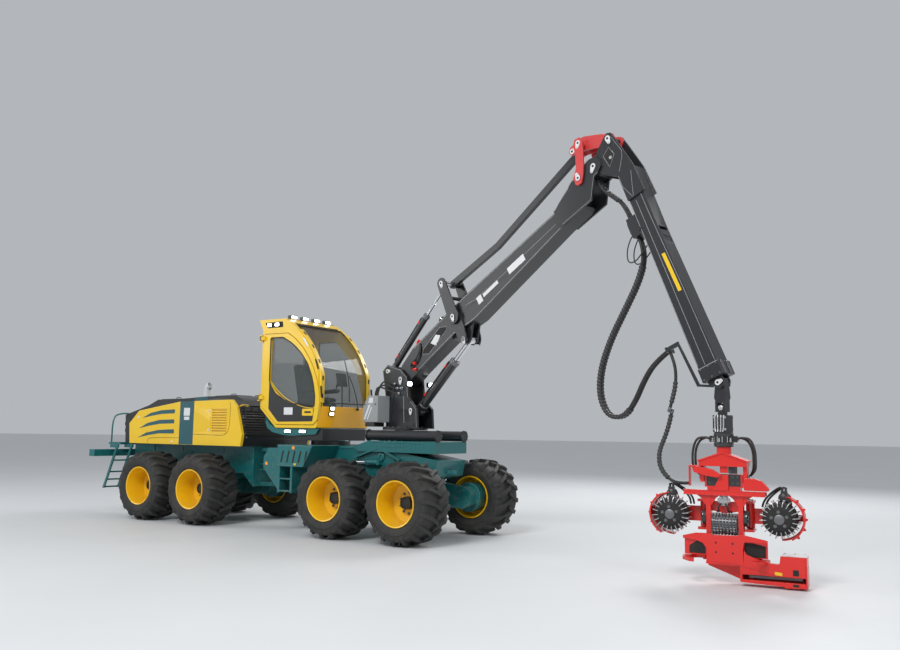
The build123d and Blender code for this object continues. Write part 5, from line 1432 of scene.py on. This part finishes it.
    def cylinders(self):
        """Gland, collar, feed pipe and its red couplings, painted glowing, of each crane cylinder."""
        for name, foot, eye, radius, rod, last in (
                ("lift", CRANE.at((380, 2173, 0)), BOOM.at((1619, -386, 0)), 80, 45, 1230),
                ("reach", CRANE.at((-288, 2877, 90)), BOOM.at((1768, 713, 90)), 55, 33, 1330)):
            line = Place(foot, np.cross(CRANE.axes[2], unit(eye - foot)), eye - foot)
            gland = turned([(radius, last - 70), (radius + 7, last - 66), (radius + 7, last - 8),
                            (radius, last + 6), (rod + 4, last + 6), (rod + 1, last + 14),
                            (rod + 0.5, last - 20)], 36)
            collar = turned([(radius, 120), (radius + 6, 124), (radius + 6, 150), (radius, 156)], 36)
            out = radius + 34
            feed = routed([(radius - 6, 0, 190), (out, 0, 190), (out, 0, 260), (out, 0, last - 190),
                           (out, 0, last - 120), (radius - 6, 0, last - 120)], 11)
            piece(f"{name}_gland", "steel", f"{name}_barrel", "cylinder_paint", line.put(gland, collar),
                  bevel=0.8)
            piece(f"{name}_feed_pipe", "cylinder", f"{name}_barrel", "cylinder_paint", line.put(feed))
            # Painted glow: the red couplings emit light, though they are no lamps.
            joints = moved(turned([(12, -34), (17, -30), (17, 30), (12, 34)], 6), (out, 0, 300),
                           (out, 0, last - 240))
            piece(f"{name}_couplings", "tail", f"{name}_barrel", "cylinder_paint", line.put(joints))


# Head

ROLLER_PLACE = (655.0, 825.0)
FOLD = 0.14    # slant of the front plate to both sides of its middle


class HARVESTER_OT_head(bpy.types.Operator):
    """Head trim: spiked rollers, motors, guards' teeth, cowls, valve, hoses, studs and the middle roller"""

    bl_idname = "harvester.head"
    bl_label = "Head details"

    def execute(self, context):
        for way, side in ((-1, "left"), (1, "right")):
            self.roller(way, side)
            self.arm(way, side)
        self.frame()
        self.yoke()
        return {"FINISHED"}

    def roller(self, way, side):
        """Drum with twenty U-shaped spikes, a face plate and five bolts."""
        body = node = f"feed_roller_{side}"
        place = Place(HEAD.at((way * ROLLER_PLACE[0], ROLLER_PLACE[1], 0)), HEAD.axes[0], HEAD.axes[2])
        drum = turned([(60, -134), (150, -134), (196, -112), (200, -100), (200, 120), (184, 150), (140, 172),
                       (138, 180), (120, 184), (0.1, 184)], 60)
        made = piece(f"roller_drum_{side}", "seal", body, "worn_steel", place.put(drum), smooth=30)
        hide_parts(node)
        u = [(150, 176), (196, 168), (222, 158), (236, 140), (236, 96), (222, 84), (206, 78), (206, -62),
             (222, -70), (236, -82), (236, -108), (222, -118), (160, -118)]
        points, faces = prism(rounded(u, 10, 3), -5, 5)
        spikes = around((points[:, [0, 2, 1]], faces), 20, 0.1)
        piece(f"roller_spikes_{side}", "bright", body, "worn_steel", place.put(spikes), bevel=1.2)
        nuts = bolt_circle(15, 186, 92, 5, 0.4)
        face = button(60, 184, 190, 52, 194, 30)
        piece(f"roller_bolts_{side}", "steel", body, "worn_steel", place.put(nuts, face))

    def arm(self, way, side):
        """Guard teeth and rims, drive motor and its bracket and hoses."""
        body = f"feed_arm_{side}"
        u, z = way * ROLLER_PLACE[0], ROLLER_PLACE[1]
        teeth = []
        for a in (-48, -24, 0, 24, 48):
            c, s = math.cos(math.radians(a)), math.sin(math.radians(a))
            row = [(280, -24), (312, -6), (312, 8), (280, 24)]
            teeth.append(prism([(u + way * (r * c - t * s), z + r * s + t * c) for r, t in row], -20, 8))
        a = np.radians(np.linspace(-84, 84, 40))
        rims = [tube(np.column_stack([u + way * 264 * np.cos(a), z + 264 * np.sin(a), 0 * a + level]), 8, 8)
                for level in (-86, -204)]
        a = np.radians(np.linspace(-62, 62, 32))
        band = np.concatenate([np.column_stack([u + way * 284 * np.cos(a), z + 284 * np.sin(a)]),
                               np.column_stack([u + way * 262 * np.cos(a), z + 262 * np.sin(a)])[::-1]])
        piece(f"guard_teeth_{side}", "red", body, "head_red", HEAD.put(*teeth, *rims, prism(band, -110, 84)),
              bevel=2.0)
        plate = [(way * x, y) for x, y in ((560, 900), (780, 900), (770, 1090), (700, 1150), (640, 1110))]
        piece(f"motor_bracket_{side}", "red", body, "head_red", HEAD.put(slab(plate, 30, -203, -183)),
              bevel=3.0)
        start, end = (way * 690, 1060, -182), (way * 690, 1060, -70)
        line = Place(HEAD.at(start), HEAD.axes[0], HEAD.axes[2])
        motor = join(turned([(70, 0), (74, 6), (74, 30), (62, 34), (62, 84), (56, 96), (30, 104), (30, 110),
                             (0.1, 110)], 36), bolt_circle(7, 30, 66, 6))
        block = boxes((-40, 40, 20, 40, 92, 80))
        points, faces = turned([(15, 0), (15, 30), (19, 32), (19, 44), (0.1, 44)], 12)
        ports = moved((points[:, [0, 2, 1]], faces), (-20, 88, 50), (20, 88, 50))
        piece(f"roller_motor_{side}", "cylinder", body, "cylinder_paint", line.put(motor, block, ports),
              bevel=1.5)
        hoses = [routed([(way * x, 1176, -132), (way * x, 1190, -136), (way * (x - 40), 1192, -180),
                         (way * (x - 150), 1110, -262), (way * (x - 230), 1020, -245),
                         (way * (x - 250), 940, -215)], 13) for x in (670, 710)]
        bent = (body, "head", tuple(HEAD.at((way * 600, 1230, -140))), tuple(HEAD.at((way * 440, 990, -220))))
        piece(f"motor_hoses_{side}", "hose", bent, "hose_rubber", HEAD.put(*hoses))
        piece(f"arm_pin_cap_{side}", "steel", "head", "worn_steel",
              HEAD_TOP.put(moved(button(40, 1020, 1028, 32, 1034, 24), (way * 280, 170, 0))))

    def frame(self):
        """Post gussets, beam edges, valve with hoses, cross piece, middle roller, side units, blank mark."""
        gussets = []
        for way in (-1, 1):
            for sign in (-1, 1):
                base = way * 195 + sign * 30
                gussets.append(slab([(base - sign * 4, 1090), (base + sign * 130, 1090),
                                     (base + sign * 60, 1040), (base + sign * 14, 960),
                                     (base - sign * 4, 940)], 14, 34, 58))
        beam = boxes((-496, 1078, 84, 496, 1090, 104), (-496, 1130, 84, 496, 1142, 104))
        cross = prism([(-166, 880), (0, 850), (166, 880), (166, 1000), (-166, 1000)], -58, -30)
        edges = [boxes((way * 195 - 30, 545, 58, way * 195 + 30, 1085, 66)) for way in (-1, 1)]
        piece("head_gussets", "red", "head", "head_red", HEAD.put(*gussets, beam, cross, *edges), bevel=3.0)
        valve = join(boxes((-60, 950, -20, 40, 1075, 50), (-84, 990, -10, 64, 1040, 40)),
                     moved(turned([(20, 50), (20, 66), (15, 70), (15, 84), (0.1, 84)], 14), (-38, 1050, 0),
                           (16, 1050, 0), (-38, 975, 0), (16, 975, 0)))
        piece("head_valve", "bright", "head", "worn_steel", HEAD.put(valve), bevel=2.0)
        fittings = [routed([(x, 975, 80), (x, 975, 104), (x + d, 940, 104), (x + d, 880, 60),
                            (x + d * 2, 870, -20)], 11) for x, d in ((-38, -30), (16, 30))]
        piece("head_valve_hoses", "hose", "head", "hose_rubber", HEAD.put(*fittings))
        u = np.linspace(-150, 150, 61)
        a = np.arange(72) * 2 * math.pi / 72
        lean = u[:, None] * 0.08
        rise = 128 + 7 * np.sign(np.sin(12 * a + lean)) * np.sign(np.sin(12 * a - lean))
        rings = np.stack([u[:, None] + 0 * a, 725 + rise * np.sin(a), rise * np.cos(a)], -1)
        made = piece("middle_roller_knurled", "steel", "middle_roller", "worn_steel",
                     HEAD.put(closed_tube(rings)), smooth=20)
        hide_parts("middle_roller")
        for way, side in ((-1, "left"), (1, "right")):
            unit_place = Place(HEAD.at((way * 226, 800, -10)), HEAD.axes[2], way * HEAD.axes[0])
            drum = join(turned([(96, 0), (100, 6), (100, 44), (92, 52), (60, 56), (56, 66), (0.1, 66)], 40),
                        bolt_circle(8, 52, 78, 8))
            piece(f"head_side_unit_{side}", "cylinder", "head", "cylinder_paint", unit_place.put(drum))
        piece("saw_box_mark", "yellow", "head", "head_red",
              HEAD.put(slab([(584, 166), (668, 160), (668, 196), (584, 204)], 6, 139.5, 142)), bevel=0.5)
        self.panel()

    def panel(self):
        """Folded front plate, dark sheets painted as the shade inside the knife bays, the saw box's raised
        end, its lid, knife pivots.
        """
        points, faces = prism([(-517, 562), (-350, 606), (-159, 612), (-146, 592), (-15, 596), (-15, 265),
                               (-98, 268), (-225, 250), (-223, 345), (-215, 414), (-262, 482), (-340, 512),
                               (-517, 528)], 131, 140)
        fold = np.column_stack([0 * points[:, :2], FOLD * (points[:, 0] + 15)])
        middle = prism([(-15, 596), (155, 600), (202, 622), (225, 616), (225, 240), (115, 262), (-15, 265)],
                       131, 140)
        window = prism([(225, 616), (493, 566), (505, 534), (240, 528), (225, 448), (262, 384), (340, 352),
                        (500, 306), (620, 292), (640, 304), (652, 392), (925, 392), (925, 150), (690, 150),
                        (591, 158), (225, 240)], 131, 140)
        left = points + fold, faces
        foot = prism([(690, 18), (925, 30), (925, 82), (690, 82)], 131, 140)
        piece("head_front_panel", "red", "head", "head_red", HEAD.put(left, middle, window, foot), bevel=2.5)
        # Painted shade: dark sheets stand for the shaded insides of the open knife bays.
        shade = [slab([(-236, 352), (-440, 352), (-440, 440), (-330, 515), (-236, 515)], 14, 0, 4),
                 slab([(236, 345), (478, 345), (478, 480), (330, 515), (236, 515)], 14, 0, 4)]
        dark = []
        for points, faces in shade:
            lean = np.column_stack([0 * points[:, :2], 111 - abs(points[:, 0]) * FOLD])
            dark.append((points + lean, faces))
        piece("knife_bay_backs", "seal", "head", "head_red", HEAD.put(*dark))
        end = join(boxes((652, 266, -140, 700, 384, 130), (916, 266, -140, 948, 392, 130),
                         (700, 266, -140, 916, 384, -128)))
        piece("saw_box_end", "red", "head", "head_red", HEAD.put(end), bevel=3.0)
        lid = slab([(652, -128), (948, -128), (948, 138), (652, 138)], 12, 388, 396)
        studs = bolts(11, 396, (680, -100), (920, -100), (680, 110), (920, 110), (800, 110))
        piece("saw_box_lid", "silver", "head", "worn_steel", HEAD_TOP.put(lid, studs), bevel=1.5)
        # Painted shade: dark discs and boxes stand for the holes in the front plate.
        dots = []
        for x, y in ((-100, 500), (100, 500), (-100, 385), (103, 385)):
            level = 140 - FOLD * max(0, -15 - x)
            dots.append(moved(turned([(13, -2), (13, 1), (0.1, 1)], 16), (x, y, level)))
        windows = [slab(box_outline(*row), 8, 139, 141.5)
                   for row in ((789, 170, 856, 240), (787, 42, 853, 72))]
        piece("front_panel_holes", "seal", "head", "head_red", HEAD.put(*dots, *windows))
        pivots = [moved(button(46, 0, 20, 38, 26, 28), (way * 280, 100, 367)) for way in (-1, 1)]
        piece("knife_pivots", "red", "head", "head_red", HEAD_TOP.put(*pivots))

    def yoke(self):
        """Gable, shroud, dark blocks, bracket, right cowl, looping hoses, pin caps, fittings."""
        body, slot = "head_yoke", "head_red"
        roof = prism([(-306, 1488), (0, 1600), (306, 1488), (306, 1512), (0, 1624), (-306, 1512)], -164, 164)
        shroud = slab([(-370, 1400), (-330, 1442), (-120, 1400), (-10, 1330), (-60, 1300), (-200, 1320),
                       (-350, 1360)], 14, 92, 168)
        middle = slab([(-38, 1360), (60, 1360), (60, 1440), (-38, 1440)], 6, 92, 112)
        piece("yoke_gable", "red", body, slot, HEAD.put(roof, middle), bevel=5.0)
        piece("yoke_shroud", "red", body, slot, HEAD.put(shroud), bevel=6.0)
        dark = boxes((64, 1352, 88, 170, 1438, 108))
        nuts = bolts(9, 108, (84, 1420), (150, 1420), (84, 1372), (150, 1372))
        piece("yoke_block", "cylinder", body, slot, HEAD.put(dark, nuts), bevel=2.0)
        block = boxes((-206, 1196, 86, 206, 1340, 92))
        nuts = bolts(9, 92, (-170, 1300), (-90, 1300), (-170, 1230), (110, 1310), (170, 1310), (110, 1230),
                     (170, 1230))
        piece("tilt_block_front", "cylinder", "head", "head_red", HEAD.put(block, nuts), bevel=2.0)
        curve = bend([(-190, 1140, 0), (-120, 1160, 0), (-70, 1260, 0), (-40, 1334, 0)])[:, :2].tolist()
        bracket = prism(curve + [(62, 1334), (62, 1140)], 93, 112)
        piece("tilt_bracket", "red", "head", "head_red", HEAD.put(bracket), bevel=4.0)
        cowl = slab([(300, 1150), (590, 1150), (600, 1180), (520, 1270), (430, 1300), (300, 1300)], 22, 20,
                    96)
        piece("head_cowl_right", "red", "head", "head_red", HEAD.put(moved(cowl, (-60, 0, 0))), bevel=8.0,
              segments=3)
        hoses = []
        for way in (-1, 1):
            for spread, back in ((0, 0), (30, 34)):
                hoses.append(routed([(way * 168, 1786, back), (way * 215, 1800, back),
                                     (way * (300 + spread), 1760 + spread, back),
                                     (way * (352 + spread), 1640, back), (way * (356 + spread), 1500, back),
                                     (way * (350 + spread), 1400, back - 20), (way * 310, 1330, back - 70)],
                                    15))
        piece("yoke_hoses", "hose", body, "hose_rubber", HEAD.put(*hoses))
        cap = button(44, 0, 8, 36, 14, 24)
        for way in (-1, 1):
            at = Place(HEAD.at((way * 290, 1300, 0)), HEAD.axes[2], way * HEAD.axes[0])
            piece(f"tilt_pin_cap_{'left' if way < 0 else 'right'}", "steel", body, "worn_steel", at.put(cap))
        rotator = join(turned([(118, 1690), (122, 1696), (122, 1730), (116, 1736)], 40),
                       turned([(118, 1812), (122, 1818), (122, 1850), (116, 1856)], 40),
                       bolt_circle(9, 1856, 100, 10))
        piece("rotator_rings", "cylinder", "tip_fork", "crane_grey", HEAD_TOP.put(rotator))
        boss = moved(button(34, 56, 66, 26, 72, 28), (0, 2172, 0))
        cage = [routed([(x, 2076, 92), (x, 2050, 100), (x, 1910, 100), (x * 0.8, 1868, 108)], 11)
                for x in (-60, -22, 22, 60)]
        nuts = bolts(12, 90, (-72, 2050), (72, 2050), (-72, 1900), (72, 1900))
        points, faces = join(*cage, nuts)
        low = join((points, faces), (points * (-1, 1, -1), faces))
        spot = Place(CRANE.at((HEAD_REACH, 0, 0)), CRANE.axes[0], CRANE.axes[2])
        piece("fork_hose_ends", "bright", "tip_fork", "worn_steel", spot.put(low), bevel=0.8)
        piece("fork_boss", "bright", "tip_fork", "worn_steel", spot.put(boss), bevel=1.0)
        ribs = around(moved(boxes((-7, -5, 1738, 7, 5, 1810)), (118, 0, 0)), 12)
        unions = around(moved(turned([(14, 1742), (18, 1746), (18, 1764), (13, 1768), (13, 1790), (9, 1794)],
                                     6), (136, 0, 0)), 6, 0.26)
        piece("rotator_unions", "bright", "tip_fork", "worn_steel", HEAD_TOP.put(ribs, unions), bevel=0.8)
        ports = []
        for way in (-1, 1):
            at = Place(HEAD.at((way * 168, 1780, 0)), HEAD.axes[2], way * HEAD.axes[0])
            ports.append(at.put(turned([(20, 0), (24, 4), (24, 16), (16, 20)], 6)))
        piece("rotator_ports", "bright", "tip_fork", "worn_steel", *ports)


# Hoses

HOSE, SLEEVE, RIB = 0.042, 0.033, 0.05    # hose diameter, sleeve radius and pitch of its ribs, in metres
HOSE_SIDE = 34.0
KNEE_HOSE = ((110.3, -110), (290, -110), (500, 20), (755, 150), (1009.7, 150))
LOOP_HOSE = ((1320.3, 165), (1560, 165), (1850, -80), (2100, -430), (2400, -870), (2730, -1205),
             (3080, -1370), (3390, -1330), (3500, -1090), (3370, -830), (3170, -590), (3020, -330),
             (2978, -75))
HEAD_HOSE_UPPER = ((3010.3, -40), (3150, -40), (3300, -75), (3450, -150), (3600, -270), (3725, -385))
HEAD_HOSE_LOWER = ((-702, 2165, -306), (-744, 1990, -322), (-800, 1800, -300), (-868, 1610, -225),
                   (-850, 1420, -140), (-745, 1280, -75), (-600, 1200, -15), (-440.6, 1215, 25))
SLEEVED = {"knee_hose": (0.04, 0.66), "loop_hose": (0.1, 0.76)}


def run_length(points):
    """Length of the smooth line that a cord's points control, from a curve with no bevel."""
    line = bpy.data.objects.new("measure", smooth_curve("measure", points, 24))
    bpy.context.scene.collection.objects.link(line)
    mesh = bpy.data.meshes.new_from_object(line)
    co = np.empty(len(mesh.vertices) * 3)
    mesh.vertices.foreach_get("co", co)
    bpy.data.objects.remove(line)
    co = co.reshape(-1, 3)
    return co, float(np.linalg.norm(np.diff(co, axis=0), axis=1).sum())


def sleeve(name, body, line, first, last, radius):
    """Guard sleeve round a hose: rings along the hose's own smooth line, swelling in saw teeth."""
    steps = np.linalg.norm(np.diff(line, axis=0), axis=1)
    run = np.concatenate([[0.0], np.cumsum(steps)])
    count = int((last - first) * run[-1] / RIB)
    offsets = np.array([0.0, 0.12, 0.55, 0.67]) * RIB
    places = (first * run[-1] + RIB * np.arange(count)[:, None] + offsets).ravel()
    path = np.column_stack([np.interp(places, run, line[:, k]) for k in range(3)])
    swell = np.tile([0.82, 1.0, 1.0, 0.82], count)
    rings = closed_tube_rings(path, radius, 12)
    middle = path[:, None, :]
    return piece(name, "sleeve", body, "hose_rubber",
                 closed_tube(middle + (rings - middle) * swell[:, None, None]), smooth=50)


class HARVESTER_OT_hoses(bpy.types.Operator):
    """Free hoses of the knee, the hanging loop and the head"""

    bl_idname = "harvester.hoses"
    bl_label = "Hoses"

    def execute(self, context):
        for way, side in ((-1, "left"), (1, "right")):
            for name, route in (("knee_hose", KNEE_HOSE), ("loop_hose", LOOP_HOSE)):
                points = JIB.at([(x, y, way * HOSE_SIDE) for x, y in route])
                line, length = run_length(points)
                first, last = SLEEVED[name]
                cover = sleeve(f"{name}_sleeve_{side}", "jib", line, first, last, SLEEVE)
                made = cord(f"{name}_{side}", points, HOSE, "jib", "hose")
                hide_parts("jib_hoses")
        coupler = join(turned([(22, -60), (25, -56), (25, -6), (21, 0), (21, 4), (16, 6)], 24),
                       turned([(24, -34), (28, -32), (28, -18), (24, -16)], 6))
        near, _ = JIB.facing((3725, -385, HOSE_SIDE), (3850, -500, HOSE_SIDE))
        high_end = piece("hose_coupler_high", "steel", "extension", "hose_rubber", near.put(coupler),
                         bevel=1.0)
        near, _ = HEAD.facing(HEAD_HOSE_LOWER[0], (-660, 2340, -290))
        low_end = piece("hose_coupler_low", "steel", "head_yoke", "hose_rubber", near.put(coupler), bevel=1.0)
        points = JIB.at([(x, y, HOSE_SIDE) for x, y in HEAD_HOSE_UPPER])
        line, length = run_length(points)
        cover = sleeve("head_hose_high_sleeve", "extension", line, 0.5, 0.9, SLEEVE)
        cord("head_hose_high", points, HOSE, "extension", "hose",
             stands_for=("head_hose_upper",))
        points = HEAD.at(HEAD_HOSE_LOWER)
        line, length = run_length(points)
        cover = sleeve("head_hose_low_sleeve", "head_yoke", line, 0.06, 0.8, SLEEVE)
        cord("head_hose_low", points, HOSE, "head_yoke", "hose",
             stands_for=("head_hose_lower",))
        return {"FINISHED"}


# Stage

CAMERA_AT = (9.5876, -12.5876, 1.8337)
CAMERA_YAW, CAMERA_PITCH, CAMERA_ROLL = (math.radians(a) for a in (33.881, 6.781, 0.860))


class HARVESTER_OT_stage(bpy.types.Operator):
    """Pale floor, soft studio lights and the camera of the photograph"""

    bl_idname = "harvester.stage"
    bl_label = "Stage"

    def execute(self, context):
        scene = context.scene
        look = np.array([-math.sin(CAMERA_YAW) * math.cos(CAMERA_PITCH),
                         math.cos(CAMERA_YAW) * math.cos(CAMERA_PITCH), math.sin(CAMERA_PITCH)])
        right = unit(np.cross(look, (0, 0, 1)))
        up = np.cross(right, look)
        across = right * math.cos(CAMERA_ROLL) + up * math.sin(CAMERA_ROLL)
        above = up * math.cos(CAMERA_ROLL) - right * math.sin(CAMERA_ROLL)
        lens = bpy.data.cameras.new("camera")
        lens.lens, lens.sensor_width = scene.harvester_sizes.camera_lens, 36.0
        lens.clip_end = 500.0
        camera = bpy.data.objects.new("camera", lens)
        axes = np.eye(4)
        axes[:3, 0], axes[:3, 1], axes[:3, 2], axes[:3, 3] = across, above, -look, CAMERA_AT
        camera.matrix_world = Matrix(axes.tolist())
        scene.collection.objects.link(camera)
        scene.camera = camera
        rings = circles([(radius, -0.001) for radius in (0, 20, 60, 180)], 64)
        points, faces = grid(rings, round_columns=True)
        mesh = bpy.data.meshes.new("floor")
        mesh.from_pydata(points.tolist(), [], [row for group in faces for row in group[:, ::-1].tolist()])
        f = Finish("pale_floor", Specular_IOR_Level=0.3)
        f.set(Base_Color=f.blend(f.noise(0.4, 3), (0.66, 0.67, 0.68), (0.72, 0.73, 0.74)),
              Roughness=0.5 + f.noise(3, 4) * 0.15)
        mesh.materials.append(f.material)
        floor = bpy.data.objects.new("floor", mesh)
        scene.collection.objects.link(floor)
        world = bpy.data.worlds.new("studio")
        world.use_nodes = True
        world.node_tree.nodes["Background"].inputs[0].default_value = (0.82, 0.86, 0.90, 1)
        world.node_tree.nodes["Background"].inputs[1].default_value = 0.55
        scene.world = world
        scene.view_settings.view_transform = "Standard"
        for name, spot, aim, size, power in (("key", (4, -17, 15), (-2, 0, 2), (7, 5), 2300),
                                             ("fill", (-15, -10, 8), (-3, 0, 1.5), (8, 8), 500),
                                             ("rim", (2, 16, 12), (-1, 0, 2), (10, 5), 1500),
                                             ("head", (14, -6, 7), (5, -1.5, 2), (5, 5), 250)):
            data = bpy.data.lights.new(name, "AREA")
            data.shape, data.size, data.size_y, data.energy = "RECTANGLE", *size, power
            light = bpy.data.objects.new(name, data)
            light.location = spot
            light.rotation_mode = "QUATERNION"
            light.rotation_quaternion = (Vector(aim) - Vector(spot)).to_track_quat("-Z", "Y")
            scene.collection.objects.link(light)
        return {"FINISHED"}


OPERATORS = (HARVESTER_OT_skins, HARVESTER_OT_wheels, HARVESTER_OT_hood, HARVESTER_OT_cab,
             HARVESTER_OT_frames, HARVESTER_OT_crane, HARVESTER_OT_head, HARVESTER_OT_hoses,
             HARVESTER_OT_stage)


class HARVESTER_PT_panel(bpy.types.Panel):
    """Lists the machine's colours, sizes and piece groups"""

    bl_idname = "HARVESTER_PT_panel"
    bl_label = "Forestry harvester"
    bl_space_type = "VIEW_3D"
    bl_region_type = "UI"
    bl_category = "Harvester"

    def draw(self, context):
        for group in (context.scene.harvester_colours, context.scene.harvester_sizes):
            for name in group.bl_rna.properties.keys():
                if name not in ("rna_type", "name"):
                    self.layout.prop(group, name)
        for operator in OPERATORS:
            self.layout.operator(operator.bl_idname)


CLASSES = (HarvesterColours, HarvesterSizes, *OPERATORS, HARVESTER_PT_panel)


def register():
    """Adds the classes and the scene's properties."""
    for made in CLASSES:
        bpy.utils.register_class(made)
    bpy.types.Scene.harvester_colours = bpy.props.PointerProperty(type=HarvesterColours)
    bpy.types.Scene.harvester_sizes = bpy.props.PointerProperty(type=HarvesterSizes)


def unregister():
    """Takes them away again."""
    del bpy.types.Scene.harvester_colours
    del bpy.types.Scene.harvester_sizes
    for made in reversed(CLASSES):
        bpy.utils.unregister_class(made)


def main():
    """Registers the add-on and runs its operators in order."""
    register()
    make_finishes()
    for operator in OPERATORS:
        group, name = operator.bl_idname.split(".")
        getattr(getattr(bpy.ops, group), name)()


if __name__ == "__main__":
    main()
